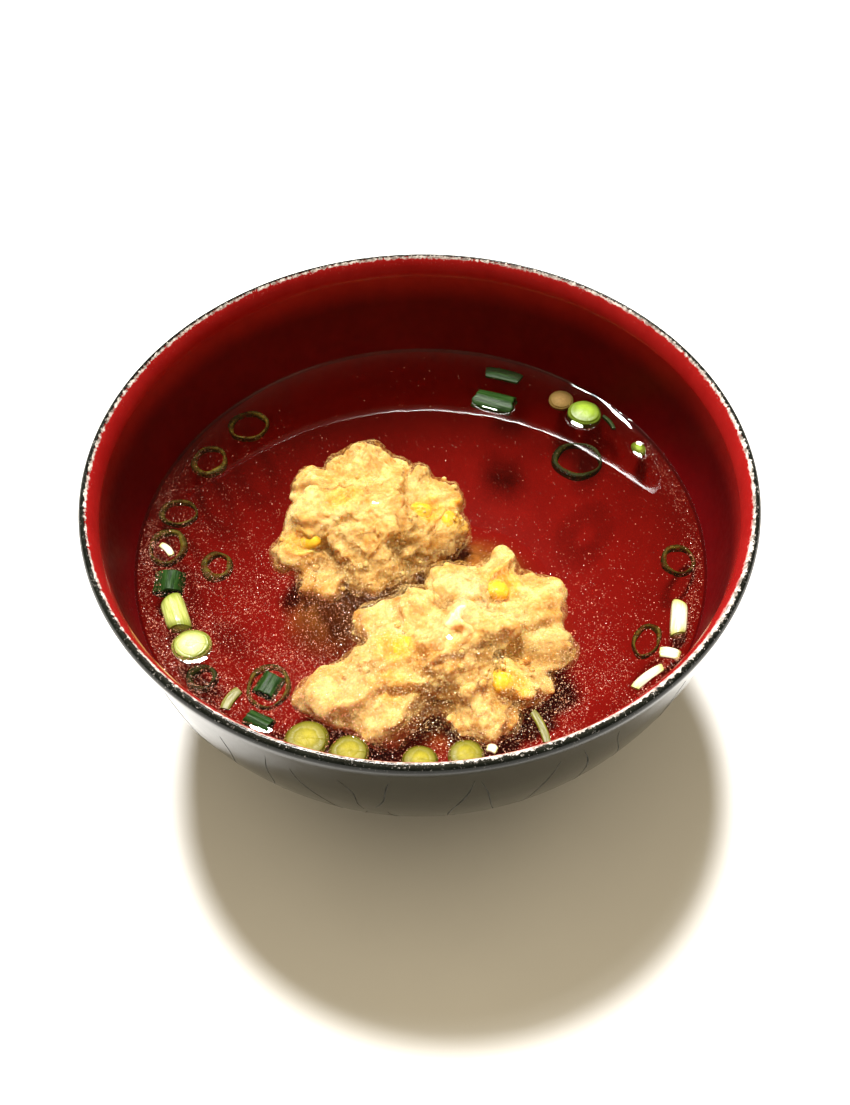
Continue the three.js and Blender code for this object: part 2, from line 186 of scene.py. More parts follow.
def lathe(outline, sides):
    """A profile of [radius, height] carried round the axis: x = r cos a, y = r sin a, z = height."""
    angle = turns(sides)
    radius, height = outline[:, :1], outline[:, 1:]
    return np.stack([radius * np.cos(angle), radius * np.sin(angle),
                     np.broadcast_to(height, (len(outline), sides))], -1)


# ---------- noise ----------

def lattice_noise(places, pitch, seed):
    """Smooth noise from 0 to 1: random numbers at the corners of a cubic lattice of this pitch,
    blended between the corners by t * t * (3 - 2 t)."""
    table = np.random.default_rng(seed).random((32, 32, 32))
    scaled = places / pitch
    cell = np.floor(scaled).astype(np.int64)
    part = scaled - cell
    part = part * part * (3 - 2 * part)
    low, high = cell % 32, (cell + 1) % 32
    total = 0.0
    for pick in range(8):
        sides = [(pick >> axis) & 1 for axis in range(3)]
        where = [(high if side else low)[..., axis] for axis, side in enumerate(sides)]
        share = 1.0
        for axis, side in enumerate(sides):
            share = share * (part[..., axis] if side else 1 - part[..., axis])
        total = total + table[tuple(where)] * share
    return total


def rough_noise(places, pitch, octaves, seed):
    """Lattice noise added at ever finer pitches, each half as strong, from -1 to 1."""
    total, weight = 0.0, 0.0
    for octave in range(octaves):
        strength = 0.5 ** octave
        total = total + strength * lattice_noise(places + 7.3 * octave, pitch * strength, seed + octave)
        weight += strength
    return 2 * total / weight - 1


def wander_noise(places, pitch, octaves, seed):
    """Three rough noises side by side, as a push in space."""
    return np.stack([rough_noise(places, pitch, octaves, seed + axis) for axis in range(3)], -1)


def cell_lumps(places, pitch, seed):
    """Soft round lumps packed against each other: 1 - d * d, with d the distance to the nearest of
    the points scattered one to each cell of a cubic lattice of this pitch, in pitches."""
    table = np.random.default_rng(seed).random((16, 16, 16, 3))
    scaled = places / pitch
    cell = np.floor(scaled).astype(np.int64)
    part = scaled - cell
    nearest = np.full(places.shape[:-1], 9.0)
    for pick in range(27):
        step = np.array([pick % 3, pick // 3 % 3, pick // 9]) - 1
        where = (cell + step) % 16
        spot = table[where[..., 0], where[..., 1], where[..., 2]] + step
        nearest = np.minimum(nearest, ((part - spot) ** 2).sum(-1))
    return 1 - np.minimum(nearest, 1.2)


# ---------- materials ----------

def add_node(tree, kind, inputs=None, **settings):
    """A shader node with its settings, each input either linked or given its own value."""
    made = tree.nodes.new("ShaderNode" + kind)
    for key, value in settings.items():
        setattr(made, key, value)
    for key, value in (inputs or {}).items():
        if isinstance(value, bpy.types.NodeSocket):
            tree.links.new(value, made.inputs[key])
        else:
            made.inputs[key].default_value = value
    return made


def calc(tree, operation, first, second=0.0):
    """One sum on two values."""
    return add_node(tree, "Math", {0: first, 1: second}, operation=operation).outputs[0]


def times(tree, first, second):
    return calc(tree, "MULTIPLY", first, second)


def plus(tree, first, second):
    return calc(tree, "ADD", first, second)


def mixed(tree, factor, first, second):
    """Two colours mixed by a factor."""
    first, second = (tuple(c) + (1.0,) if isinstance(c, tuple) and len(c) == 3 else c
                     for c in (first, second))
    return add_node(tree, "Mix", {0: factor, 6: first, 7: second}, data_type="RGBA").outputs[2]


def ramped(tree, value, low, high, start=0.0, end=1.0):
    """A value taken smoothly from low..high to start..end."""
    return add_node(tree, "MapRange", {"Value": value, "From Min": low, "From Max": high,
                                       "To Min": start, "To Max": end},
                    interpolation_type="SMOOTHSTEP").outputs[0]


def noise(tree, vector, scale, detail=2.0, rough=0.5):
    """Noise from 0 to 1 over a place, with this many waves to the millimetre."""
    return add_node(tree, "TexNoise", {"Vector": vector, "Scale": scale, "Detail": detail,
                                       "Roughness": rough}).outputs[0]


def field(tree, name):
    """A field that the mesh carries at its points."""
    return add_node(tree, "Attribute", attribute_name=name).outputs["Fac"]


def millimetres(tree):
    """The piece's own coordinates, in millimetres."""
    place = add_node(tree, "TexCoord").outputs["Object"]
    return add_node(tree, "VectorMath", {0: place, "Scale": 1 / MM}, operation="SCALE").outputs[0]


def node_group(name, inputs, outputs):
    """A shader node group with named sockets, each given as (name, kind, value)."""
    tree = bpy.data.node_groups.new(name, "ShaderNodeTree")
    for label, kind, value in inputs:
        socket = tree.interface.new_socket(label, in_out="INPUT", socket_type="NodeSocket" + kind)
        if value is not None:
            socket.default_value = value
    for label, kind in outputs:
        tree.interface.new_socket(label, in_out="OUTPUT", socket_type="NodeSocket" + kind)
    return tree, tree.nodes.new("NodeGroupInput").outputs, tree.nodes.new("NodeGroupOutput").inputs


def use_group(tree, group, inputs):
    """The outputs of a shader node group, each input linked or given its own value."""
    made = tree.nodes.new("ShaderNodeGroup")
    made.node_tree = group
    for key, value in inputs.items():
        if isinstance(value, bpy.types.NodeSocket):
            tree.links.new(value, made.inputs[key])
        else:
            made.inputs[key].default_value = tuple(value) + (1.0,) if isinstance(value, tuple) else value
    return made.outputs


def build_mottle():
    """Cloudy colour over a surface: a coarse and a fine noise pick between two colours."""
    tree, given, out = node_group(
        "soft_mottle",
        [("Place", "Vector", None), ("Size", "Float", 4.0), ("Dark", "Color", (0, 0, 0, 1)),
         ("Light", "Color", (1, 1, 1, 1)), ("Contrast", "Float", 1.0)],
        [("Colour", "Color"), ("Mask", "Float")])
    pitch = calc(tree, "DIVIDE", 1.0, given["Size"])
    coarse = noise(tree, given["Place"], pitch, 3.0, 0.6)
    fine = noise(tree, given["Place"], times(tree, pitch, 5.0), 2.0, 0.6)
    blend = plus(tree, times(tree, coarse, 0.7), times(tree, fine, 0.3))
    centred = times(tree, calc(tree, "SUBTRACT", blend, 0.5), given["Contrast"])
    mask = ramped(tree, centred, -0.25, 0.25)
    tree.links.new(mask, out["Mask"])
    tree.links.new(mixed(tree, mask, given["Dark"], given["Light"]), out["Colour"])
    return tree


def build_worn_lip():
    """Wear along an edge: worn where the distance from the edge is less than a ragged width,
    with loose chips further out."""
    tree, given, out = node_group(
        "worn_lip",
        [("Place", "Vector", None), ("Distance", "Float", 0.0), ("Centre", "Float", 0.0),
         ("Width", "Float", 0.6), ("Ragged", "Float", 0.6)],
        [("Mask", "Float"), ("Chips", "Float")])
    away = calc(tree, "ABSOLUTE", calc(tree, "SUBTRACT", given["Distance"], given["Centre"]))
    ragged = calc(tree, "SUBTRACT", noise(tree, given["Place"], 1.1, 4.0, 0.75), 0.5)
    slow = calc(tree, "SUBTRACT", noise(tree, given["Place"], 0.11, 2.0, 0.5), 0.5)
    teeth = times(tree, ragged, times(tree, given["Ragged"], 3.2))
    reach = plus(tree, given["Width"], plus(tree, teeth, times(tree, slow, given["Width"])))
    band = ramped(tree, calc(tree, "SUBTRACT", reach, away), -0.05, 0.05)
    flecks = ramped(tree, noise(tree, given["Place"], 1.9, 4.0, 0.75), 0.60, 0.65)
    near = ramped(tree, away, 0.5, 2.2, 1.0, 0.0)
    tree.links.new(band, out["Mask"])
    tree.links.new(times(tree, flecks, near), out["Chips"])
    return tree


def build_fibres():
    """Streaks that run along a leaf: noise drawn out along the piece and fine across it."""
    tree, given, out = node_group(
        "leaf_fibres",
        [("Along", "Float", 0.0), ("Across", "Float", 0.0), ("Fineness", "Float", 2.0)],
        [("Mask", "Float")])
    across = times(tree, given["Across"], given["Fineness"])
    along = times(tree, given["Along"], 0.25)
    vector = add_node(tree, "CombineXYZ", {0: across, 1: along, 2: 0.0}).outputs[0]
    tree.links.new(ramped(tree, noise(tree, vector, 1.0, 3.0, 0.6), 0.35, 0.65), out["Mask"])
    return tree


MOTTLE = build_mottle()
WORN_LIP = build_worn_lip()
FIBRES = build_fibres()


def mottled(tree, place, size, dark, light, contrast):
    """Cloudy colour between a dark and a light one, with clouds of this size."""
    return use_group(tree, MOTTLE, {"Place": place, "Size": size, "Dark": dark, "Light": light,
                                    "Contrast": contrast})["Colour"]


def new_material(name, **sockets):
    """A material with one Principled shader, whose plain sockets are set by name."""
    material = bpy.data.materials.new(name)
    material.use_nodes = True
    tree = material.node_tree
    shader = tree.nodes["Principled BSDF"]
    for key, value in sockets.items():
        shader.inputs[key.replace("_", " ")].default_value = value
    return material, tree, shader.inputs


def raise_bump(tree, inputs, height, distance, strength=1.0):
    """Fine relief in the shader, as high as a distance in millimetres."""
    bump = add_node(tree, "Bump", {"Height": height, "Distance": distance * MM, "Strength": strength})
    tree.links.new(bump.outputs[0], inputs["Normal"])


def red_coat(tree, place):
    """The red lacquer's colour, a little cloudy, darker below the lip's bright band as painted shade on the
    wall.
    """
    bright = mottled(tree, place, 9.0, (0.240, 0.0065, 0.0060), (0.290, 0.0100, 0.0090), 1.2)
    # painted shade: from 4 to 11 mm from the crest the wall fades to this darker red
    deeper = mottled(tree, place, 9.0, (0.078, 0.0009, 0.0017), (0.102, 0.0015, 0.0024), 1.2)
    return mixed(tree, ramped(tree, field(tree, "from_crest"), 4.0, 11.0), bright, deeper)


def make_lacquer():
    """Black outside, red inside, worn pale along the lip."""
    material, tree, inputs = new_material("lacquer", Specular_IOR_Level=0.18, IOR=1.5)
    place = millimetres(tree)
    rim = field(tree, "from_crest")
    red = red_coat(tree, place)
    black = mottled(tree, place, 3.0, (0.0034, 0.0041, 0.0029), (0.0074, 0.0084, 0.0062), 1.4)
    coat = mixed(tree, ramped(tree, rim, 0.15, 0.35), black, red)
    wear = use_group(tree, WORN_LIP, {"Place": place, "Distance": rim, "Centre": 0.42,
                                      "Width": field(tree, "wear"), "Ragged": 0.62})
    bare = mottled(tree, place, 0.9, (0.16, 0.13, 0.11), (0.64, 0.60, 0.55), 2.2)
    pale = mixed(tree, ramped(tree, rim, 0.45, 0.95), bare, (0.44, 0.14, 0.13))
    chips = times(tree, wear["Chips"], ramped(tree, rim, -1.8, 1.0, 0.9, 0.25))
    worn = calc(tree, "MAXIMUM", wear["Mask"], chips)
    tree.links.new(mixed(tree, worn, coat, pale), inputs["Base Color"])
    cloudy = ramped(tree, noise(tree, place, 0.25, 3.0), 0.3, 0.7, 0.12, 0.17)
    satin = plus(tree, cloudy, ramped(tree, rim, 0.3, 1.2, 0.0, 0.03))
    rough = add_node(tree, "Mix", {0: worn, 2: satin, 3: 0.55}, data_type="FLOAT").outputs[0]
    tree.links.new(rough, inputs["Roughness"])
    raise_bump(tree, inputs, times(tree, worn, -0.6), 0.12)
    return material


def make_inner_lacquer():
    """The red wall below the lip, rubbed dull by washing."""
    material, tree, inputs = new_material("inner_lacquer", Specular_IOR_Level=0.05, IOR=1.5)
    place = millimetres(tree)
    tree.links.new(red_coat(tree, place), inputs["Base Color"])
    tree.links.new(ramped(tree, noise(tree, place, 0.8, 2.0), 0.3, 0.7, 0.36, 0.44), inputs["Roughness"])
    return material


def make_sunk_lacquer():
    """The red lacquer under the broth, where liquid against it takes away nearly all its gloss."""
    material, tree, inputs = new_material("sunk_lacquer", Specular_IOR_Level=0.02, IOR=1.5)
    place = millimetres(tree)
    red = mottled(tree, place, 9.0, (0.142, 0.0024, 0.0018), (0.170, 0.0034, 0.0024), 1.2)
    tree.links.new(red, inputs["Base Color"])
    tree.links.new(ramped(tree, noise(tree, place, 0.8, 2.0), 0.3, 0.7, 0.45, 0.60), inputs["Roughness"])
    return material


def make_cut_line():
    """Dust and shade in the fine cuts down the outside."""
    material, tree, inputs = new_material("cut_line", Specular_IOR_Level=0.05, Roughness=0.9)
    dusty = mottled(tree, millimetres(tree), 2.5, (0.010, 0.010, 0.008), (0.055, 0.055, 0.048), 1.8)
    tree.links.new(dusty, inputs["Base Color"])
    return material


def make_broth():
    """Clear golden broth. Light from lamps and light scattered off the food passes straight
    through, so that what lies in the broth is lit."""
    material, tree, _ = new_material("broth", Roughness=0.0, IOR=1.33, Transmission_Weight=1.0,
                                     Specular_IOR_Level=0.5, Coat_Weight=1.0, Coat_IOR=1.5,
                                     Coat_Roughness=0.02, Base_Color=(0.40, 0.33, 0.22, 1.0))
    path = add_node(tree, "LightPath").outputs
    passes = calc(tree, "MAXIMUM", path["Is Shadow Ray"], path["Is Diffuse Ray"])
    clear = add_node(tree, "BsdfTransparent").outputs[0]
    liquid = tree.nodes["Principled BSDF"].outputs[0]
    both = add_node(tree, "MixShader", {0: passes, 1: liquid, 2: clear}).outputs[0]
    tree.links.new(both, tree.nodes["Material Output"].inputs["Surface"])
    return material


def make_mince():
    """Moist minced chicken: cream on the lumps, golden in the hollows as painted shade,
    golden lower down and where it stands clear of the broth, yellow beside the corn, paler on
    the lumps' tops as painted light and browner in hollows and on sides turned away as painted shade."""
    material, tree, inputs = new_material("mince", Roughness=0.5, Specular_IOR_Level=0.2,
                                          Subsurface_Weight=0.7, Subsurface_Scale=0.0026)
    inputs["Subsurface Radius"].default_value = (1.0, 0.55, 0.20)
    place = millimetres(tree)
    cream = mottled(tree, place, 5.0, (0.66, 0.36, 0.09), (0.87, 0.72, 0.34), 1.9)
    # painted shade: golden brown in the hollows, where the relief is low
    hollow = ramped(tree, field(tree, "raised"), 0.10, 0.60, 1.0, 0.0)
    height = add_node(tree, "SeparateXYZ", {0: place}).outputs[2]
    deep = ramped(tree, height, 16.0, 36.0, 1.0, 0.0)
    colour = mixed(tree, times(tree, hollow, 0.65), cream, (0.46, 0.24, 0.055))
    colour = mixed(tree, times(tree, deep, 0.85), colour, (0.50, 0.21, 0.035))
    colour = mixed(tree, ramped(tree, height, 39.3, 40.4, 0.0, 0.7), colour, (0.60, 0.42, 0.17))
    colour = mixed(tree, times(tree, field(tree, "by_corn"), 0.7), colour, (0.86, 0.47, 0.035))
    # painted light and shade: paler on the lumps' tops, browner in hollows and on sides turned away
    light_and_shade = field(tree, "light_and_shade")
    colour = mixed(tree, ramped(tree, light_and_shade, 0.0, 1.0), colour, (0.90, 0.78, 0.47))
    colour = mixed(tree, ramped(tree, light_and_shade, -1.0, 0.0, 1.0, 0.0), colour, (0.38, 0.19, 0.045))
    tree.links.new(colour, inputs["Base Color"])
    raise_bump(tree, inputs, noise(tree, place, 1.6, 4.0, 0.6), 0.16, 0.6)
    return material


def make_haze():
    """Fine shreds that cloud the broth close about the meatballs, clear in places."""
    material, tree, inputs = new_material("mince_haze", Roughness=0.8, Specular_IOR_Level=0.02)
    place = millimetres(tree)
    golden = mottled(tree, place, 3.0, (0.70, 0.38, 0.09), (0.95, 0.80, 0.40), 1.7)
    tree.links.new(golden, inputs["Base Color"])
    tree.links.new(ramped(tree, noise(tree, place, 1.8, 4.0, 0.65), 0.40, 0.68, 0.03, 0.50), inputs["Alpha"])
    return material


def make_sediment():
    """Fine golden mince that has settled between the meatballs and clouds the broth."""
    material, tree, inputs = new_material("settled_mince", Roughness=0.8, Specular_IOR_Level=0.02)
    place = millimetres(tree)
    golden = mottled(tree, place, 5.0, (0.20, 0.065, 0.012), (0.34, 0.135, 0.026), 1.3)
    height = field(tree, "height")
    tree.links.new(mixed(tree, ramped(tree, height, 0.4, 12.0), (0.150, 0.0030, 0.0022), golden),
                   inputs["Base Color"])
    return material


def make_corn():
    """Yellow kernels, deeper towards the root end."""
    material, tree, inputs = new_material("corn", Roughness=0.35, Specular_IOR_Level=0.25,
                                          Subsurface_Weight=0.25, Subsurface_Scale=0.0015)
    place = millimetres(tree)
    skin = mottled(tree, place, 2.2, (0.86, 0.46, 0.02), (0.95, 0.68, 0.06), 1.3)
    root = ramped(tree, field(tree, "root"), 0.3, 0.95)
    tree.links.new(mixed(tree, root, skin, (0.80, 0.62, 0.22)), inputs["Base Color"])
    raise_bump(tree, inputs, noise(tree, place, 1.1, 2.0), 0.2, 0.4)
    return material


def make_onion(name, core, rim, skin, streak, rings, roughness, gloss, clear=1.0):
    """Cut onion: rings of layers on a cut face with paler patches, streaks along the skin, the
    rim's colour towards the ends, and clouds of see-through film where it is clear."""
    material, tree, inputs = new_material(name, Roughness=roughness, Specular_IOR_Level=gloss)
    place = millimetres(tree)
    layer, cut = field(tree, "layer"), field(tree, "cut")
    wander = times(tree, noise(tree, place, 0.5, 2.0), 0.6)
    steps = times(tree, plus(tree, layer, wander), rings)
    lines = ramped(tree, calc(tree, "PINGPONG", steps, 0.5), 0.0, 0.2, 1.0, 0.0)
    pith = mottled(tree, place, 4.0, core, tuple(min(0.8, 1.6 * part) for part in core), 1.6)
    face = mixed(tree, ramped(tree, layer, 0.25, 0.95), pith, rim)
    face = mixed(tree, times(tree, lines, 0.18), face, rim)
    fibres = use_group(tree, FIBRES, {"Along": field(tree, "along"), "Across": field(tree, "across"),
                                      "Fineness": 2.2})["Mask"]
    side = mixed(tree, fibres, skin, streak)
    side = mixed(tree, field(tree, "ends"), side, rim)
    tree.links.new(mixed(tree, cut, side, face), inputs["Base Color"])
    if clear < 1.0:
        cloud = ramped(tree, noise(tree, place, 1.1, 3.0, 0.6), 0.35, 0.62, clear, 0.95)
        tree.links.new(cloud, inputs["Alpha"])
    grooves = times(tree, lines, times(tree, cut, -0.4))
    relief = plus(tree, grooves, times(tree, fibres, 0.4))
    raise_bump(tree, inputs, relief, 0.10, 0.7)
    return material


def make_oil():
    """Little lenses of oil, their pale colour a painted glint: pinkish over the red bowl and pale over the
    meat.
    """
    material, tree, inputs = new_material("oil", Roughness=0.10, Specular_IOR_Level=0.6)
    place = millimetres(tree)
    # painted glint: pale pink over the bowl, golden pale over the meat
    pink_glint = mottled(tree, place, 2.0, (0.62, 0.18, 0.10), (0.85, 0.42, 0.30), 1.5)
    golden = mottled(tree, place, 2.0, (0.80, 0.48, 0.16), (0.95, 0.82, 0.50), 1.5)
    tree.links.new(mixed(tree, field(tree, "over_mince"), pink_glint, golden), inputs["Base Color"])
    tree.links.new(field(tree, "strength"), inputs["Alpha"])
    return material


LACQUER = make_lacquer()
INNER_LACQUER = make_inner_lacquer()
SUNK_LACQUER = make_sunk_lacquer()
CUT_LINE = make_cut_line()
BROTH = make_broth()
MINCE = make_mince()
HAZE = make_haze()
SEDIMENT = make_sediment()
CORN = make_corn()
OIL = make_oil()

# name, core, rim, skin, streak, rings on a cut face, roughness, gloss, least cover of a clear film
ONION_COLOURS = [
    ("onion_white", (0.42, 0.38, 0.16), (0.26, 0.26, 0.05), (0.62, 0.57, 0.44), (0.46, 0.44, 0.26),
     3.0, 0.35, 0.25),
    ("onion_tan", (0.20, 0.135, 0.055), (0.16, 0.110, 0.034), (0.14, 0.100, 0.030),
     (0.18, 0.130, 0.045), 1.0, 0.5, 0.08),
    ("onion_pale", (0.165, 0.140, 0.010), (0.090, 0.082, 0.004), (0.080, 0.074, 0.004),
     (0.13, 0.12, 0.008), 1.2, 0.38, 0.20),
    ("onion_lit", (0.42, 0.44, 0.16), (0.12, 0.145, 0.012), (0.40, 0.42, 0.14), (0.24, 0.28, 0.05),
     2.0, 0.30, 0.25),
    ("onion_bright", (0.120, 0.175, 0.014), (0.080, 0.120, 0.008), (0.050, 0.090, 0.007),
     (0.095, 0.15, 0.014), 1.0, 0.36, 0.20),
    ("onion_green", (0.030, 0.060, 0.016), (0.006, 0.022, 0.004), (0.0040, 0.0155, 0.0018),
     (0.015, 0.042, 0.007), 3.0, 0.40, 0.08),
    ("onion_film", (0.050, 0.036, 0.003), (0.024, 0.018, 0.0015), (0.022, 0.017, 0.0015),
     (0.060, 0.046, 0.006), 2.0, 0.50, 0.04, 0.30),
    ("onion_leaf_film", (0.014, 0.016, 0.0015), (0.006, 0.008, 0.0006), (0.005, 0.007, 0.0006),
     (0.022, 0.024, 0.003), 2.0, 0.50, 0.05, 0.55),
]
ONION_LOOKS = {row[0]: make_onion(*row) for row in ONION_COLOURS}


# ---------- bowl ----------

def body_outline(angle, inset):
    """The body's outline (r / R)^power + (depth / D)^2 = 1, moved inward square to itself.
    The angle runs from 0 at the rim to a right angle at the lowest point."""
    radius = RIM_RADIUS * np.cos(angle) ** (2 / BODY_POWER)
    depth = BODY_DEPTH * np.sin(angle)
    out = BODY_POWER / RIM_RADIUS * (radius / RIM_RADIUS) ** (BODY_POWER - 1)
    rise = 2 * depth / BODY_DEPTH ** 2
    length = np.hypot(out, rise)
    return np.stack([np.maximum(0.02, radius - inset * out / length),
                     BOWL_HEIGHT - depth + inset * rise / length], -1)


def inside_outline(angle, clearance=0.0):
    """The red wall: the body's outline moved in by the wall's thickness, which grows towards the
    floor with the fourth power of sin(angle), and swells a little under the lip."""
    wall = RIM_WALL + (FLOOR_WALL - RIM_WALL) * np.sin(angle) ** 4
    fade = np.clip((BODY_DEPTH * np.sin(angle) - LIP_INNER_DROP) / LIP_FADE, 0, 1)
    swell = LIP_SWELL * (1 - fade * fade * (3 - 2 * fade))
    return body_outline(angle, wall + swell + clearance)


def lean_in(depth):
    """How far the black wall is drawn in under the lip: lean * d * exp(1 - d), with d the depth in
    the length over which it leans."""
    share = depth / LEAN_LENGTH
    return OUTER_LEAN * share * np.exp(1 - share)


def outside_outline(angle):
    """The black wall: the body's outline, drawn in under the lip."""
    return body_outline(angle, lean_in(BODY_DEPTH * np.sin(angle)))


def arc(start, end, steps, middle, across, up, flatness=1.0):
    """Part of an ellipse about a middle point, from one angle to another, with the cosine and the
    sine raised to the flatness."""
    cosine, sine = superellipse(np.linspace(start, end, steps), flatness)
    return np.stack([middle[0] + across * cosine, middle[1] + up * sine], -1)


def bowl_outline():
    """The bowl's profile from the middle of the foot's hollow, out and up, over the lip, down the
    inside to the middle of the floor, with each point's distance from the lip's highest line."""
    quarter = math.pi / 2
    inner = FOOT_RADIUS - FOOT_WALL
    hollow = np.stack([np.linspace(0.05, inner - FOOT_CORNER, 10), np.full(10, FOOT_RECESS)], -1)
    corner = arc(quarter, 0, 7, (inner - FOOT_CORNER, FOOT_RECESS - FOOT_CORNER), FOOT_CORNER, FOOT_CORNER)
    inner_edge = arc(2 * quarter, 3 * quarter, 6, (inner + FOOT_EDGE, FOOT_EDGE), FOOT_EDGE, FOOT_EDGE)
    outer_edge = arc(3 * quarter, 4 * quarter, 6, (FOOT_RADIUS - FOOT_EDGE, FOOT_EDGE), FOOT_EDGE, FOOT_EDGE)
    foot_angle = math.acos((FOOT_TOP_RADIUS / RIM_RADIUS) ** (BODY_POWER / 2))
    body = outside_outline(np.linspace(foot_angle, math.asin(LIP_OUTER_DROP / BODY_DEPTH), 46))
    bend = (1 - np.linspace(0, 1, 7)[1:-1]) ** 2
    flank = np.stack([body[0, 0] + (FOOT_RADIUS - body[0, 0]) * bend,
                      np.linspace(FOOT_EDGE, body[0, 1], 7)[1:-1]], -1)
    crest = RIM_RADIUS - CREST_INSET
    top = body[-1]
    outer_lip = arc(0, quarter, 12, (crest, top[1]), top[0] - crest, BOWL_HEIGHT - top[1])[1:]
    inside = inside_outline(np.linspace(math.asin(LIP_INNER_DROP / BODY_DEPTH), quarter, 60))
    inner_lip = arc(quarter, 2 * quarter, 28, (crest, inside[0, 1]), crest - inside[0, 0],
                    BOWL_HEIGHT - inside[0, 1], LIP_FLATNESS)[1:-1]
    outline = np.concatenate([hollow, corner[1:], inner_edge, outer_edge[1:], flank, body, outer_lip,
                              inner_lip, inside])
    run = np.concatenate([[0], np.cumsum(np.hypot(*np.diff(outline, axis=0).T))])
    return outline, run - run[np.argmax(outline[:, 1])]


def within_wall(middles):
    """Faces of the red inside, from under the lip down."""
    outline = body_outline(np.linspace(math.pi / 2, 0, 200), 0.0)
    outer = np.interp(middles[:, 2], outline[:, 1], outline[:, 0])
    radius, height = np.hypot(middles[:, 0], middles[:, 1]), middles[:, 2]
    return (height > FOOT_RECESS + 1) & (height < BOWL_HEIGHT - LIP_SHINE) & (radius < outer - 1.2)


def under_broth(middles):
    """Faces of the inside that the broth covers."""
    return within_wall(middles) & (middles[:, 2] < SOUP_LEVEL + 0.4)


def inside_height(radius):
    """The red wall's height at a distance from the axis."""
    wall = inside_outline(np.linspace(math.pi / 2, 0.2, 400))
    return np.interp(radius, wall[:, 0], wall[:, 1])


def make_bowl():
    """The bowl: its outline carried round the axis. The lip's wear is least + more *
    exp(-(turn from the most worn heading / spread)^2)."""
    outline, from_crest = bowl_outline()
    rows = lathe(outline, BOWL_SIDES)
    distance = np.broadcast_to(from_crest[:, None], rows.shape[:2])
    turn = turns(BOWL_SIDES)
    beyond = (turn - WEAR_HEADING + math.pi) % TURN - math.pi
    wear = LEAST_WEAR + MORE_WEAR * np.exp(-(beyond / WEAR_SPREAD) ** 2)
    put_piece("lacquered_bowl", closed_skin(rows), LACQUER, ["bowl"],
              {"from_crest": with_ends(distance),
               "wear": with_ends(np.broadcast_to(wear, rows.shape[:2]))},
              others=[(INNER_LACQUER, within_wall), (SUNK_LACQUER, under_broth)])


def make_cut_lines():
    """Fine dark cuts down the outside, two to each line. Each is a path over the black wall whose
    turn about the axis is a straight line plus two sines, under a thin four-cornered section that
    narrows to nothing at both ends: its crown just proud of the wall and its keel inside it."""
    draw = np.random.default_rng(31)
    share = np.linspace(0, 1, 60)[:, None]
    sides = np.array([-1.0, 0.0, 1.0, 0.0])
    shapes = []
    for line in range(CUT_LINES):
        gap = draw.uniform(0.4, 0.7)
        for low, high in ((draw.uniform(0.0, 0.10), gap), (gap + 0.05, draw.uniform(0.8, 1.0))):
            depth = CUT_TOP + (low + (high - low) * share) * CUT_REACH
            place = line + draw.uniform(-0.35, 0.35)
            slant = draw.uniform(-0.09, 0.09)
            turn = place * TURN / CUT_LINES + slant * (share - 0.5)
            for wave in (1.0, 2.3):
                turn = turn + 0.012 / wave * np.sin(wave * 3.0 * share + draw.uniform(0, TURN))
            half = draw.uniform(0.07, 0.13) * np.sin(math.pi * share) ** 0.4 + 0.005
            half = half * (1 + 0.25 * np.sin(11 * share + draw.uniform(0, TURN)))
            angle = np.arcsin(depth[:, 0] / BODY_DEPTH)
            flat = np.stack([body_outline(angle, inset + lean_in(depth[:, 0])) for inset in CUT_SECTION], 1)
            spin = turn + sides * half / flat[..., 0]
            rows = np.stack([flat[..., 0] * np.cos(spin), flat[..., 0] * np.sin(spin), flat[..., 1]], -1)
            shapes.append(closed_skin(rows))
    put_piece("cut_lines", joined(shapes), CUT_LINE)


# ---------- green onion tables ----------

# name, [x, y], [width, depth, length], top above the broth, heading in degrees, look, wall or layers
RINGS = [
    ("ring_far_left", (-34.2, 31.2), (8.6, 7.8, 1.6), 0.05, 40, "onion_film", 0.9),
    ("ring_left_back", (-41.1, 21.9), (7.2, 7.8, 1.8), 0.1, 0, "onion_film", 1.0),
    ("ring_left", (-45.5, 8.7), (7.4, 6.6, 1.6), 0.05, 0, "onion_film", 0.8),
    ("ring_left_front", (-46.7, 0.4), (7.4, 8.4, 2), 0.3, 0, "onion_film", 1.0),
    ("ring_inner_left", (-37.1, -3.8), (6, 6.6, 2), 0.1, 0, "onion_film", 1.2),
    ("ring_by_slice", (-37.3, -27.8), (5.6, 5.4, 2.4), 0.1, 0, "onion_leaf_film", 1.1),
    ("ring_lower_left", (-25.9, -29.7), (7.8, 8.8, 1.6), 0.05, 0, "onion_film", 0.8),
    ("ring_right", (47, -3.9), (6.2, 7.2, 1.8), 0.1, 0, "onion_film", 0.8),
    ("ring_right_front", (39, -21.3), (7.6, 4.8, 1.8), 0.1, 60, "onion_film", 0.7),
    ("ring_back_right", (30.8, 21.1), (9.8, 9.6, 2.2), 0.1, 0, "onion_leaf_film", 1.0),
]
SLICES = [
    ("slice_left", (-39.8, -21.3), (6.9, 6.4, 3), 0.9, 0, "onion_lit"),
    ("slice_front_left", (-18.9, -40.1), (7.4, 7.2, 3.2), 0.9, 0, "onion_pale"),
    ("slice_front_mid_left", (-11.9, -42.5), (6.5, 6.4, 3), 0.8, 0, "onion_pale"),
    ("slice_front_middle", (-0.4, -44.2), (6, 5.8, 3), 0.8, 0, "onion_pale"),
    ("slice_front_right", (7.1, -43.2), (6, 5.8, 3), 0.8, 0, "onion_pale"),
    ("slice_back_bright", (33.2, 33.2), (6.5, 6.8, 3.4), 1.4, 45, "onion_bright"),
    ("slice_back_tan", (28.9, 37.8), (5.1, 5.3, 2.6), 0.1, 0, "onion_tan"),
    ("bit_back_right", (43, 23.6), (3.6, 2.6, 2), 0.7, 115, "onion_bright"),
]
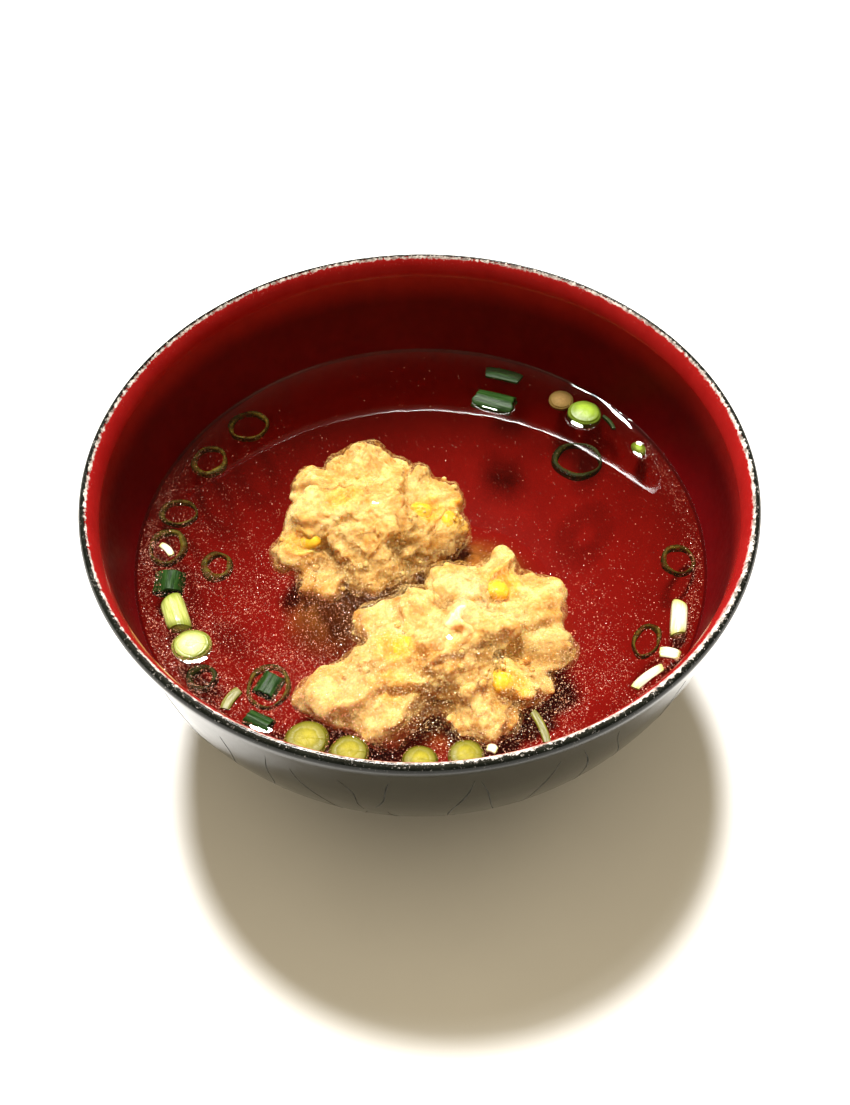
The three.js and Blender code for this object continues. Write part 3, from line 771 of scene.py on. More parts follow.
TUBES = [
    ("tube_left_green", (-45.5, -7.5), (5.6, 4.4, 4.6), 0.8, 90, "onion_green", 1.1),
    ("tube_in_ring", (-25.9, -29.3), (4.2, 3.4, 4.2), 0.6, 65, "onion_green", 0.9),
    ("tube_lower_left", (-27, -36.4), (3, 2.8, 4.6), 0.7, -28, "onion_green", 0.8),
    ("tube_back_green", (15.2, 37.3), (5.2, 3.2, 8), 0.8, -20, "onion_green", 0.9),
]
STEMS = [
    ("stem_left_pale", (-43.4, -14.6), (4.4, 4.2, 7.4), 1.5, -69, "onion_lit"),
    ("stem_right_white", (45.2, -17), (3, 2.8, 7.4), 1.1, 79, "onion_white"),
]
STRIPS = [
    ("strip_lower_left", (-31.9, -32.3), (1.9, 0.9, 4.4), 0.5, 60, "onion_pale"),
    ("strip_in_ring", (-46.6, -0.4), (1.3, 0.8, 3.6), 0.5, -48, "onion_white"),
    ("bit_front_right", (11.3, -42.3), (1.5, 0.8, 1.8), 0.6, -20, "onion_white"),
    ("strip_front_right", (19.5, -38.2), (1.4, 0.9, 6.4), 0.4, -71, "onion_pale"),
    ("strip_right_white", (42.5, -24.4), (2.2, 0.9, 3.6), 0.7, -15, "onion_white"),
    ("strip_right_long", (38.2, -29), (1.6, 0.8, 6.8), 0.6, 38, "onion_white"),
    ("strip_back_green", (17.4, 44.6), (3.2, 0.9, 7.6), 0.3, -19, "onion_green"),
    ("sliver_back_right", (37.9, 30.9), (0.9, 0.9, 4.2), 0.2, -62, "onion_green"),
]


# How far the broth climbs a piece, as a share of how far the piece stands out.
CLIMBS = {"slice_left": 0.12, "slice_back_bright": 0.28, "bit_back_right": 0.22, "tube_back_green": 0.20,
          "tube_lower_left": 0.15, "tube_in_ring": 0.03, "strip_lower_left": 0.02, "strip_in_ring": 0.10}


# ---------- broth ----------

def oval_distance(x, y, at, wide, deep, heading):
    """Distance outside an oval lying flat, about (size of the scaled offset - 1) * mean radius."""
    turn = math.radians(heading)
    along = (x - at[0]) * math.cos(turn) + (y - at[1]) * math.sin(turn)
    across = (y - at[1]) * math.cos(turn) - (x - at[0]) * math.sin(turn)
    return (np.hypot(along / (wide / 2), across / (deep / 2)) - 1) * (wide + deep) / 4


def broth_height(x, y, edge):
    """How far the broth's face stands above its level: it climbs the wall, and it climbs each
    piece that breaks it, by climb * exp(-distance / reach), with faint slow waves between."""
    radius = np.hypot(x, y)
    height = WALL_CLIMB * np.exp(-(edge - radius) / WALL_CLIMB_REACH)
    for at, wide, deep, heading, climb in FLOATERS:
        away = oval_distance(x, y, at, wide, deep, heading)
        inside = np.clip(1 + away / (0.25 * (wide + deep)), 0, 1)
        height = height + climb * np.where(away > 0, np.exp(-away / CLIMB_REACH), inside)
    places = np.stack([x, y, np.zeros_like(x)], -1)
    return height + 0.018 * rough_noise(places, 11.0, 2, 5) + 0.006 * rough_noise(places, 2.6, 2, 9)


def floater_table():
    """The ovals of the pieces that stand out of the broth, with how far it climbs each, and of two
    bits of meat that just lift it."""
    found = [((6.1, -19.3), 2.6, 1.5, 20, 0.11), ((-8.4, 11.2), 1.4, 0.9, 0, 0.16)]
    for name, at, (wide, deep, _), top, heading, _ in SLICES:
        found.append((at, wide, deep, heading, CLIMBS.get(name, 0.10) * min(top, 0.9)))
    for name, at, (wide, deep, length), top, heading, *_ in TUBES + STEMS:
        found.append((at, length, wide * 0.85, heading, CLIMBS.get(name, 0.10) * min(top, 0.9)))
    for name, at, (wide, deep, length), top, heading, _ in STRIPS:
        found.append((at, length, wide, heading, CLIMBS.get(name, 0.06) * min(top, 0.6)))
    return found


FLOATERS = floater_table()


def make_broth_body():
    """A lathe body that reaches just into the wall, under a face of its own height at each point."""
    angles = np.linspace(math.pi / 2, 0.2, 400)
    wall = inside_outline(angles, -BROTH_BITE)
    wall = wall[wall[:, 1] < SOUP_LEVEL + WALL_CLIMB]
    edge = wall[-1, 0]
    share = np.linspace(1, 0, 150)[1:-1]
    radius = edge * (1 - (1 - share) ** 1.15 * 0.999)
    under = lathe(wall[::9], BROTH_SIDES)
    brim = lathe(wall[-1:], BROTH_SIDES)
    face = lathe(np.stack([radius, np.full(len(radius), SOUP_LEVEL)], -1), BROTH_SIDES)
    rows = np.concatenate([under, brim, face])
    lift = broth_height(face[..., 0], face[..., 1], edge)
    rows[-len(face):, :, 2] += lift
    put_piece("clear_broth", closed_skin(rows), BROTH, ["soup"])
    return edge


# ---------- meatballs ----------

# Each lump is [x, y, z of its farthest point, radius]; each hollow is [x, y, z, half width, depth].
MEATBALLS = {
    "back": {
        "middle": (-9, 9.5, 26.8), "core": 13.2,
        "lumps": [
            (-14, 29.5, 32, 5.4), (-25.5, 23.5, 31, 5), (-5, 26.5, 32.5, 4.4), (2.6, 24, 35, 2.2),
            (7.5, 19.5, 32, 5.2), (9.5, 11.5, 31, 4.6), (6, 5.5, 29.5, 4.6), (-9, -4.5, 31.5, 5.2),
            (-28.5, 3.5, 30, 4.6), (-26, 11.5, 34.5, 5), (-22, -4, 25.5, 5.6), (-10.5, 12.5, 39.6, 4.2),
            (-15, 8, 38, 3.6), (-6, 6, 37, 3.4), (-17, 19, 36, 5), (-8, 8.5, 13.9, 8)],
        "hollows": [
            (-18, 3, 32, 3, 3), (-4, 4.5, 32, 3, 2.6), (-2, 14, 35, 2.6, 3), (-11, 7, 36, 1.8, 1.6),
            (-21, 19, 33, 2.6, 2.4)]},
    "front": {
        "middle": (6, -18.5, 26.5), "core": 13.0,
        "lumps": [
            (7.5, -0.5, 35, 5.2), (8.8, -7, 38.6, 4), (8.8, -13, 38.1, 3.4), (6.2, -18.5, 40.2, 2.6),
            (-3.5, -8.5, 36, 4.6), (17, 1.6, 34.5, 3.3), (20.5, -3.5, 34, 4), (25, -4.5, 33.5, 3),
            (25, -9.5, 34, 4.2), (28.5, -17.5, 32, 3.8), (17.5, -14.5, 37.4, 4.4), (-13, -12.5, 33, 4.6),
            (-12.5, -24, 33.5, 6.2), (-22, -31, 29.5, 5.8), (3, -27.5, 35.5, 6), (23.5, -27.5, 31, 5.2),
            (12, -36, 28, 5.4), (-12, -36, 28, 5.4), (5, -16.5, 14.2, 8)],
        "hollows": [
            (4.6, -11, 35, 1.8, 4), (9, -22, 36, 2.4, 2.2), (19, -21.5, 34, 2.8, 2.6),
            (5, -31, 31, 2.6, 2.2), (-1.5, -35, 29, 4, 4), (-14, -18, 32, 2.4, 1.8)]},
}
LUMP_SHARPNESS = 12
LUMP_SHRINK = 0.965     # makes up for what overlapping lumps add to each other
TATTER = 2.0            # the lumps' edges wander by this much, on a sphere of this radius
TATTER_RADIUS = 15.0
LUMP_SKIRT = 0.5        # a lump's skirt fades over this share of its radius
RIPPLES = 9
RIPPLE_HEIGHT = 0.16
GOLDEN_TURN = 2.39996
BALL_ROWS = 216
BALL_COLUMNS = 400
FOLDS = [(0.80, 3.4), (0.20, 1.6)]      # height and size of the soft lumps packed over a ball
RELIEF_SUNK = 0.75      # the relief starts this far inside the ball's face
KERNEL_SEAT = 3.0       # the mince gives way within this distance of a full-sized kernel's middle
NOTCH_DEPTH = 0.8
NOTCH_LIP = 0.5
HAZE_REACH = 0.85       # the cloud of fine shreds stands this far out
HAZE_RAGGED = 1.1       # and wanders by this much
HAZE_UNDER = 0.4        # and stays this far under the broth's level

# Painted light and shade: [x, y, z, reach, strength], paler above 0 as painted light on the lumps' tops and
# browner below as painted shade in hollows and on sides turned away.
MINCE_LIGHT_AND_SHADE = [
    (8.8, -7, 39, 4, 0.7), (8.8, -13, 39, 4, 0.5), (3.5, -17, 38, 4, 0.4), (17, -14, 37, 3, 0.35),
    (-10, -26, 33, 6, 0.4), (-20, -31, 29, 6, 0.35), (4.6, -11, 35, 2.4, -1.6), (9, -22, 36, 2.6, -0.9),
    (19, -21.5, 34, 3, -0.7), (28, -17, 33, 7, -0.45), (24, -27, 31, 6, -0.3), (-2, -37, 29, 5, -0.5),
    (-26, 11.5, 34.5, 4, 0.7), (-15, 8, 38, 4, 0.4), (-19, 5, 35, 4, 0.3), (-2, 14, 35, 2.6, -0.9),
    (-18, 2, 31, 3, -1.0), (-4, 4.5, 32, 3.4, -0.8), (8, 8, 30, 6, -0.4), (-14, 28, 33, 8, -0.4),
    (-9, -3, 32, 6, -0.4), (4, -8.5, 37, 3, 0.5)]


# Fine mince on the floor: the heap's middle and radius, then the [x, y], height and width of its humps.
HEAP_AT = (0.0, -5.0)
HEAP_RADIUS = 33.0
HEAPS = [((-5, 1), 16.0, 8.0), ((11, 4), 13.0, 8.0), ((-18, -4), 12.0, 7.0), ((3, -32), 7.0, 10.0),
         ((17, -10), 9.0, 10.0), ((-12, 14), 8.0, 12.0)]

# ball, place, size, heading and tilt in degrees
KERNELS = [
    ("back", (7.6, 11.2, 31.6), 0.95, 20, 35), ("back", (1.4, 12, 34.2), 0.75, 250, 20),
    ("back", (-14.6, 13.4, 37.1), 0.72, 160, 10), ("back", (-22.8, 4.9, 33.2), 0.72, 200, 30),
    ("front", (14.8, -6.3, 36.1), 0.80, 80, 20), ("front", (-5, -20.5, 35.9), 0.85, 190, 15),
    ("front", (-5.8, -27, 33.3), 0.8, 300, 25), ("front", (15.6, -27, 32.9), 0.8, 10, 25),
]


def even_directions(count):
    """Directions spread evenly over a sphere along a golden spiral."""
    rise = 1 - (2 * np.arange(count) + 1) / count
    turn = np.arange(count) * GOLDEN_TURN
    flat = np.sqrt(1 - rise * rise)
    return np.stack([flat * np.cos(turn), flat * np.sin(turn), rise], -1)


def ball_reach(ball, aim):
    """How far a ball reaches along each direction: the twelfth-power mean of its core and its round
    lumps, with fine waves added and hollows taken away as depth * exp(-(angle / spread)^2)."""
    middle = np.array(ball["middle"])
    total = np.full(aim.shape[:-1], ball["core"] ** LUMP_SHARPNESS)
    for *tip, radius in ball["lumps"]:
        tip = np.array(tip) - middle
        centre = tip * (1 - radius / np.linalg.norm(tip))
        along = np.maximum(aim @ centre, 0)
        aside = np.sqrt(np.maximum(centre @ centre - along ** 2, 0))
        dome = along + np.sqrt(np.maximum(radius ** 2 - aside ** 2, 0))
        skirt = along * np.exp(-((aside - radius) / (LUMP_SKIRT * radius)) ** 2)
        total = total + np.where(aside < radius, dome, skirt) ** LUMP_SHARPNESS
    reach = total ** (1 / LUMP_SHARPNESS) * LUMP_SHRINK
    for wave, axis in enumerate(even_directions(RIPPLES)):
        reach = reach + RIPPLE_HEIGHT * np.sin((aim @ axis) * (9 + 1.7 * wave) + wave * GOLDEN_TURN)
    for *place, width, depth in ball["hollows"]:
        place = np.array(place) - middle
        length = np.linalg.norm(place)
        angle = np.arccos(np.clip(aim @ (place / length), -1, 1))
        reach = reach - depth * np.exp(-(angle * length / width) ** 2)
    return reach


def painted_light_and_shade(places):
    """The painted light and shade: the sum of strength * exp(-(distance / reach)^2) over the paler and
    browner places.
    """
    light_and_shade = np.zeros(places.shape[:-1])
    for *spot, reach, strength in MINCE_LIGHT_AND_SHADE:
        away = np.linalg.norm(places - np.array(spot), axis=-1)
        light_and_shade = light_and_shade + strength * np.exp(-(away / reach) ** 2)
    return light_and_shade


def smoothed(rows, rounds):
    """Rows of points with each point drawn halfway to the mean of its four neighbours, in rounds."""
    for _ in range(rounds):
        beside = np.roll(rows, 1, axis=1) + np.roll(rows, -1, axis=1)
        above = np.concatenate([rows[:1], rows[:-1]]) + np.concatenate([rows[1:], rows[-1:]])
        rows = 0.5 * rows + 0.125 * (beside + above)
    return rows


def outward_normals(rows, aim):
    """Unit normals of a grid of points, from the cross product of its two steps."""
    around = np.roll(rows, -1, axis=1) - np.roll(rows, 1, axis=1)
    normal = np.cross(around, np.gradient(rows, axis=0))
    normal /= np.linalg.norm(normal, axis=-1, keepdims=True) + 1e-9
    return normal * np.sign((normal * aim).sum(-1).mean())


def make_meatball(side, seed):
    """A ball as a function of two angles about a level axis: its reach along each direction, torn
    and pushed about by noise and smoothed. Soft lumps of two sizes are then packed over it, with
    two noises, square to its face. At each kernel it sinks by notch * exp(-gap^4) and rises round
    it by lip * exp(-((gap - 1.15) / 0.35)^2)."""
    ball = MEATBALLS[side]
    middle = np.array(ball["middle"])
    polar, turn = poles(BALL_ROWS), turns(BALL_COLUMNS)[None, :]
    aim = np.stack([np.sin(polar) * np.cos(turn), np.cos(polar) + 0 * turn,
                    np.sin(polar) * np.sin(turn)], -1)
    shell = aim * TATTER_RADIUS
    torn = shell + TATTER * wander_noise(shell, 4.6, 3, seed + 21)
    torn = torn / np.linalg.norm(torn, axis=-1, keepdims=True)
    base = middle + aim * ball_reach(ball, torn)[..., None]
    base = smoothed(base + 2.0 * wander_noise(base, 5.0, 3, seed + 71), 10)
    base = smoothed(base + 0.9 * wander_noise(base, 2.4, 2, seed + 81), 4)
    bent = base + 1.2 * wander_noise(base, 3.0, 3, seed + 31)
    relief = sum(tall * cell_lumps(bent, size, seed + 40 + row) for row, (tall, size) in enumerate(FOLDS))
    relief = relief + 1.1 * rough_noise(base, 4.2, 3, seed + 60) + 0.5 * rough_noise(bent, 1.6, 3, seed + 50)
    relief = relief - RELIEF_SUNK
    by_corn = np.zeros(relief.shape)
    for owner, place, size, _, _ in KERNELS:
        if owner == side:
            gap = np.linalg.norm(base - np.array(place), axis=-1) / (KERNEL_SEAT * size)
            relief = relief - NOTCH_DEPTH * np.exp(-gap ** 4)
            relief = relief + NOTCH_LIP * np.exp(-((gap - 1.15) / 0.35) ** 2)
            by_corn = np.maximum(by_corn, np.exp(-(gap / 1.5) ** 4))
    places = base + outward_normals(base, aim) * relief[..., None]
    raised = np.clip((relief + 1.0) / 2.0, 0, 1)
    put_piece(f"meatball_{side}_mince", closed_skin(places), MINCE, [f"meatball_{side}"],
              {"raised": with_ends(raised), "light_and_shade": with_ends(painted_light_and_shade(places)),
               "by_corn": with_ends(by_corn)})
    make_haze_cloud(side, base[::2, ::2], aim[::2, ::2], seed + 90)


def make_haze_cloud(side, base, aim, seed):
    """A thin cloud of fine shreds about a ball: the ball's smoothed face, moved out square to
    itself by reach + ragged * noise, and kept under the broth's level."""
    soft = smoothed(base, 8)
    out = HAZE_REACH + HAZE_RAGGED * rough_noise(soft, 2.4, 3, seed)
    cloud = soft + outward_normals(soft, aim) * out[..., None]
    cloud[..., 2] = np.minimum(cloud[..., 2], SOUP_LEVEL - HAZE_UNDER)
    put_piece(f"mince_haze_{side}", closed_skin(cloud), HAZE)


def make_sediment_heap():
    """A low soft heap of fine mince on the bowl's floor, between and about the meatballs: the sum
    of round humps h * exp(-(d / w)^2), roughened by noise, over an underside in the floor."""
    share = np.linspace(0.005, 1, 90)[:, None]
    turn = turns(160)[None, :]
    radius = HEAP_RADIUS * share
    x, y = HEAP_AT[0] + radius * np.cos(turn), HEAP_AT[1] + radius * np.sin(turn)
    ground = inside_height(np.hypot(x, y))
    top = np.zeros_like(x)
    for at, tall, wide in HEAPS:
        top = top + tall * np.exp(-((x - at[0]) ** 2 + (y - at[1]) ** 2) / wide ** 2)
    places = np.stack([x, y, ground], -1)
    top = top * (1 + 0.35 * rough_noise(places, 4.5, 4, 87)) * (1 - share ** 6)
    over = np.stack([x, y, ground - 0.5 + top], -1)
    under = np.stack([x, y, ground - 0.9], -1)[::-1]
    rows = np.concatenate([over, under])
    height = np.concatenate([top, top[::-1]])
    put_piece("settled_mince", closed_skin(rows), SEDIMENT, (), {"height": with_ends(height)})


# ---------- corn ----------

KERNEL_LENGTH = 6.4
KERNEL_WIDTH = 5.6
KERNEL_THICKNESS = 4.0
KERNEL_TAPER = 0.28
KERNEL_SUNK = 1.9       # drawn in towards the middle of the ball


def make_kernel(index, side, place, size, heading, tilt):
    """A kernel as a function of two angles: an ellipsoid whose width and thickness shrink towards
    the root by (1 - taper * x), with a shallow dimple of 0.04 * exp(-(w / 0.35)^2) of it in its crown."""
    polar, turn = poles(32), turns(48)[None, :]
    x = -np.cos(polar) + 0 * turn
    narrow = 1 - KERNEL_TAPER * x
    full = np.sin(polar) ** 0.85
    y = full * np.cos(turn) * narrow
    z = full * np.sin(turn) * narrow
    dimple = 0.04 * np.exp(-(y / 0.35) ** 2) * np.clip(-x, 0, 1)
    local = np.stack([(x + dimple) * KERNEL_LENGTH, y * KERNEL_WIDTH, z * KERNEL_THICKNESS], -1) * size / 2
    tip, turned = math.radians(tilt), math.radians(heading)
    pitch = np.array([[math.cos(tip), 0, math.sin(tip)], [0, 1, 0], [-math.sin(tip), 0, math.cos(tip)]])
    yaw = np.array([[math.cos(turned), -math.sin(turned), 0], [math.sin(turned), math.cos(turned), 0],
                    [0, 0, 1]])
    sunk = np.array(place) - MEATBALLS[side]["middle"]
    sunk *= KERNEL_SUNK / np.linalg.norm(sunk)
    rows = local @ (yaw @ pitch).T + np.array(place) - sunk
    rows += 0.08 * rough_noise(rows, 1.8, 2, 70 + index)[..., None]
    put_piece(f"kernel_{side}_{index}", closed_skin(rows), CORN, [f"corn_{side}_{index}"],
              {"root": with_ends(x)})


# ---------- green onion ----------

FLAT_POWER = 0.8        # a section of a lower power than this is a strip's
STRIP_BOW = 0.35        # a strip's middle bows sideways by this much
STRIP_SHIFT = 0.2       # and the whole strip lies back by this much
FACE_ROWS, SIDE_ROWS = 26, 22   # points over a rod's cut face, and along its side
ROD_EDGE = 0.12         # the side's ends round over by this share of the section
TUBE_ROWS, TUBE_BEND = 24, 6    # points along a tube's wall, and round its end


def lay(rows, at, top, height, heading, lying):
    """Puts a piece made about its own z axis into the broth: upright, or with its axis level
    along its heading and its depth standing up."""
    turn = math.radians(heading)
    cosine, sine = math.cos(turn), math.sin(turn)
    if lying:
        axes = np.array([[-sine, cosine, 0], [0, 0, 1], [cosine, sine, 0]])
    else:
        axes = np.array([[cosine, sine, 0], [-sine, cosine, 0], [0, 0, 1]])
    return rows @ axes + np.array([at[0], at[1], SOUP_LEVEL + top - height / 2])


def put_onion(name, rows, look, fields, ends=False):
    """A piece of onion over a grid of points, closed by a fan at either end or else on itself,
    with its fields spread over the grid."""
    fields = {key: np.broadcast_to(values, rows.shape[:2]) for key, values in fields.items()}
    if ends:
        fields = {key: with_ends(values) for key, values in fields.items()}
    put_piece("cut_" + name, closed_skin(rows) if ends else closed_band(rows), ONION_LOOKS[look],
              ["onion_" + name], fields)


def make_ring(number, name, at, size, top, heading, look, wall):
    """A thin hoop as a function of two angles: an oval path whose radius wanders by 4%, and a
    rounded section whose thickness swells and thins on the way round."""
    wide, deep, tall = size
    around = turns(120)[:, None]
    section = turns(20)[None, :]
    draw = np.random.default_rng(200 + number)
    phase = draw.uniform(0, TURN, 4)
    wander = 1 + 0.03 * np.sin(2 * around + phase[0]) + 0.02 * np.sin(5 * around + phase[1])
    thick = wall * (1 + 0.3 * np.sin(around + phase[2]) + 0.2 * np.sin(3 * around + phase[3]))
    across, up = superellipse(section, 0.6)
    out = across * thick / 2
    height = up * tall / 2 * (1 + 0.12 * np.sin(2 * around + phase[3]))
    x = ((wide - wall) / 2 * wander * 0.98 + out) * np.cos(around)
    y = ((deep - wall) / 2 * wander * 0.98 + out) * np.sin(around)
    rows = lay(np.stack([x, y, height], -1), at, top, tall, heading, False)
    put_onion(name, rows, look, {"layer": 0.5 + 0.5 * across, "cut": np.clip(up * 2 - 0.6, 0, 1),
                                 "along": height, "across": around * wide / 2})


def rod_rows(size, power, layers, slant, swell, seed):
    """A rod as a function of its run and an angle. Its run goes over one cut face, along the side
    and over the other face. A cut face swells by swell * (1 - share^2) and steps between layers."""
    wide, deep, length = size
    face = np.linspace(0.03, 1, FACE_ROWS) * (1 - ROD_EDGE)
    side = np.linspace(-1, 1, SIDE_ROWS)
    share = np.concatenate([face, 1 - ROD_EDGE * (np.abs(side) ** 6), face[::-1]])
    level = np.concatenate([np.full(FACE_ROWS, -1.0), side * 0.98, np.full(FACE_ROWS, 1.0)])
    cut = np.concatenate([np.ones(FACE_ROWS - 1), np.zeros(SIDE_ROWS + 2), np.ones(FACE_ROWS - 1)])
    angle = turns(64)[None, :]
    across, up = superellipse(angle, power)
    places = np.stack([np.cos(angle) + 0 * share[:, None], np.sin(angle) + 0 * share[:, None],
                       0.4 * level[:, None] + 0 * angle], -1)
    wander = 1 + 0.05 * rough_noise(places * 3, 2.0, 2, seed)
    radial = share[:, None]
    steps = 0.05 * np.cos(TURN * layers * (radial + 0.05 * np.sin(angle + seed)))
    crown = cut[:, None] * (swell * (1 - radial ** 2) + steps * (radial < 0.92) - 0.05)
    axial = level[:, None] * (length / 2 - swell) + np.sign(level)[:, None] * crown
    axial = axial + slant * across * radial * (length / 2) * level[:, None]
    x = across * radial * wander * wide / 2
    y = up * radial * wander * deep / 2
    rows = np.stack([x, y, axial], -1)
    return rows, {"layer": radial, "cut": cut[:, None], "along": axial, "across": angle * wide / 2,
                  "ends": np.abs(level[:, None]) ** 3}


def make_rod(number, name, at, size, top, heading, look, lying, **form):
    """A rod laid in the broth. A flat strip is bowed sideways by bow * (1 - share^2), with the
    share of the way from its middle to its end."""
    rows, fields = rod_rows(size, seed=300 + number, **form)
    if form["power"] < FLAT_POWER:
        rows[..., 0] += STRIP_BOW * (1 - (2 * rows[..., 2] / size[2]) ** 2) - STRIP_SHIFT
    rows = lay(rows, at, top, size[1] if lying else size[2], heading, lying)
    put_onion(name, rows, look, fields, ends=True)


def make_tube(number, name, at, size, top, heading, look, wall):
    """A hollow length of leaf as a function of an angle and a run that goes along its outside,
    round the end and back along its inside. Its section is an oval with one soft crease."""
    wide, deep, length = size
    angle = turns(72)[:, None]
    out, bend = np.linspace(-1, 1, TUBE_ROWS), poles(TUBE_BEND)[:, 0]
    plain, tip = np.zeros(TUBE_ROWS), np.ones(TUBE_BEND)
    level = np.concatenate([out, tip, out[::-1], -tip])[None, :]
    inward = np.concatenate([plain, (1 - np.cos(bend)) / 2, plain + 1, (1 + np.cos(bend)) / 2])[None, :]
    cap = np.concatenate([plain, np.sin(bend), plain, -np.sin(bend)])[None, :]
    draw = np.random.default_rng(400 + number)
    crease = 1 - 0.14 * np.exp(-((angle - draw.uniform(0.8, 2.2)) / 0.35) ** 2)
    wander = 1 + 0.03 * np.sin(3 * angle + 2 * level + draw.uniform(0, TURN))
    radial = crease * wander
    reach_x = (wide / 2) * radial - wall * 0.55 * inward
    reach_y = (deep / 2) * radial - wall * 0.55 * inward
    ragged = 0.06 * np.sin(2 * angle + number) + 0.035 * np.sin(7 * angle + 2 * number)
    axial = level * (length / 2 - 0.15) * (1 + ragged) + cap * 0.15
    rows = np.stack([reach_x * np.cos(angle), reach_y * np.sin(angle), axial], -1)
    rows = lay(rows, at, top, deep, heading, True)
    put_onion(name, rows, look, {"layer": 1 - 0.8 * inward, "cut": np.abs(cap) ** 0.5, "along": axial,
                                 "across": angle * wide / 2})


def make_onion_pieces():
    """Every piece in the tables, each with its own seed."""
    for number, row in enumerate(RINGS):
        make_ring(number, *row)
    for number, row in enumerate(SLICES):
        make_rod(number, *row, lying=False, power=1.0, layers=1, slant=0.0, swell=0.7)
    for number, row in enumerate(STEMS):
        make_rod(20 + number, *row, lying=True, power=1.0, layers=3, slant=0.16, swell=0.3)
    for number, row in enumerate(STRIPS):
        make_rod(40 + number, *row, lying=True, power=0.6, layers=1, slant=0.1, swell=0.1)
    for number, row in enumerate(TUBES):
        make_tube(number, *row)


# ---------- oil and crumbs ----------

DROPLETS = 19000        # in each half of the broth
TRIES = 8               # places drawn for each droplet kept
DROP_SIDES = 5
DROP_RADIUS = (0.032, 0.078, 0.06)      # the least, how much more it may be, and more for a few
DROP_PROUD = 0.004      # the brim stands this far above the broth's face
DROP_KEEL = 0.03        # and the point below is this deep
SIGHT_DROP = 4.5        # a sight line moves this far back on its way down to the mince


def over_mince(x, y):
    """1 where the sight line through the broth's face, bent down and away, meets a meatball:
    1 / (1 + exp((distance - reach) / 1.5)) about each ball's middle."""
    seen = 0.0
    for ball, reach in (("back", 16.0), ("front", 18.5)):
        away = np.hypot(x - MEATBALLS[ball]["middle"][0], y + SIGHT_DROP - MEATBALLS[ball]["middle"][1])
        seen = np.maximum(seen, 1 / (1 + np.exp((away - reach) / 1.5)))
    return seen


def make_oil_drops(name, side, edge, seed):
    """Thousands of little lenses on one half of the broth's face: each is a low five-sided dome
    over a point below. The chance that a place gets one is a small number, more at the front and
    left by clumps of noise, more in a patch left of the middle and more in a band along the wall."""
    draw = np.random.default_rng(seed)
    radius = (edge - 0.7) * np.sqrt(draw.random(DROPLETS * TRIES))
    angle = draw.random(DROPLETS * TRIES) * TURN
    x, y = radius * np.cos(angle), radius * np.sin(angle)
    places = np.stack([x, y, np.zeros_like(x)], -1)
    clumps = rough_noise(places, 6.0, 4, 21)
    near = 1 / (1 + np.exp((y + 0.35 * x + 9) / 6.0))
    crowd = 0.008 + 0.014 * (y < 28) + near * (0.42 + 0.60 * clumps)
    crowd += 0.30 * np.exp(-((x + 10) ** 2 + (y + 17) ** 2) / 120)
    crowd += 0.46 * np.exp(-((edge - 2.2 - radius) / 1.3) ** 2) * (y < 24) * (0.9 + clumps)
    crowd *= side(x, y)
    kept = np.flatnonzero(draw.random(len(x)) < np.clip(crowd, 0.0, 1))[:DROPLETS]
    x, y = x[kept], y[kept]
    least, more, few = DROP_RADIUS
    size = least + more * draw.random(len(x)) ** 2 + few * (draw.random(len(x)) < 0.03)
    tall = size * draw.uniform(0.05, 0.34, len(x))
    level = SOUP_LEVEL + broth_height(x, y, edge)
    spoke = turns(DROP_SIDES) + draw.random(len(x))[:, None] * TURN
    brim = np.stack([x[:, None] + size[:, None] * np.cos(spoke), y[:, None] + size[:, None] * np.sin(spoke),
                     np.broadcast_to(level[:, None], spoke.shape) + DROP_PROUD], -1)
    top = np.stack([x, y, level + tall + DROP_PROUD], -1)[:, None]
    under = np.stack([x, y, level - DROP_KEEL], -1)[:, None]
    points = np.concatenate([brim, top, under], 1).reshape(-1, 3)
    each = DROP_SIDES + 2
    first = (np.arange(len(x)) * each)[:, None]
    one, two = np.arange(DROP_SIDES), (np.arange(DROP_SIDES) + 1) % DROP_SIDES
    domes = np.stack([first + one, first + two, first + DROP_SIDES + 0 * one], -1).reshape(-1, 3)
    keels = np.stack([first + two, first + one, first + DROP_SIDES + 1 + 0 * one], -1).reshape(-1, 3)
    # how strongly each lens shows its painted glint, fainter towards the back
    strength = (0.10 + 0.46 * draw.random(len(x)) ** 2) * np.clip((34 - y) / 40, 0.55, 1)
    fields = {"strength": np.repeat(strength, each), "over_mince": np.repeat(over_mince(x, y), each)}
    put_piece(name, (points, [np.concatenate([domes, keels])]), OIL, (), fields, smooth=False)


CRUMBS = 110            # about each ball
CRUMB_UNDER = 0.5       # they stay this far under the broth's level
CRUMB_LOWEST = 16.0


def make_crumbs():
    """Loose crumbs of mince that lie round the meatballs, under the broth: small rough balls."""
    draw = np.random.default_rng(91)
    polar, turn = poles(7), turns(10)[None, :]
    unit = np.stack([np.sin(polar) * np.cos(turn), np.sin(polar) * np.sin(turn),
                     np.cos(polar) + 0 * turn], -1)
    shapes, raised = [], []
    for side in ("back", "front"):
        ball = MEATBALLS[side]
        middle = np.array(ball["middle"])
        aims = draw.normal(0, 1, (CRUMBS, 3)) * (1, 1, 0.6)
        aims /= np.linalg.norm(aims, axis=1, keepdims=True)
        reach = ball_reach(ball, aims) - 0.6 + np.abs(draw.normal(0, 0.4, CRUMBS))
        for spot, size in zip(middle + aims * reach[:, None], draw.uniform(0.25, 0.75, CRUMBS)):
            if spot[2] + size > SOUP_LEVEL - CRUMB_UNDER or spot[2] < CRUMB_LOWEST:
                continue
            rough = 1 + 0.35 * rough_noise(unit * 2 + spot, 1.4, 2, 17)
            shapes.append(closed_skin(spot + unit * (size * rough)[..., None]))
            raised.append(np.full(len(shapes[-1][0]), draw.uniform(0.3, 0.9)))
    shape = joined(shapes)
    put_piece("mince_crumbs", shape, MINCE, (),
              {"raised": np.concatenate(raised), "light_and_shade": painted_light_and_shade(shape[0])})


# ---------- floor, light and camera ----------

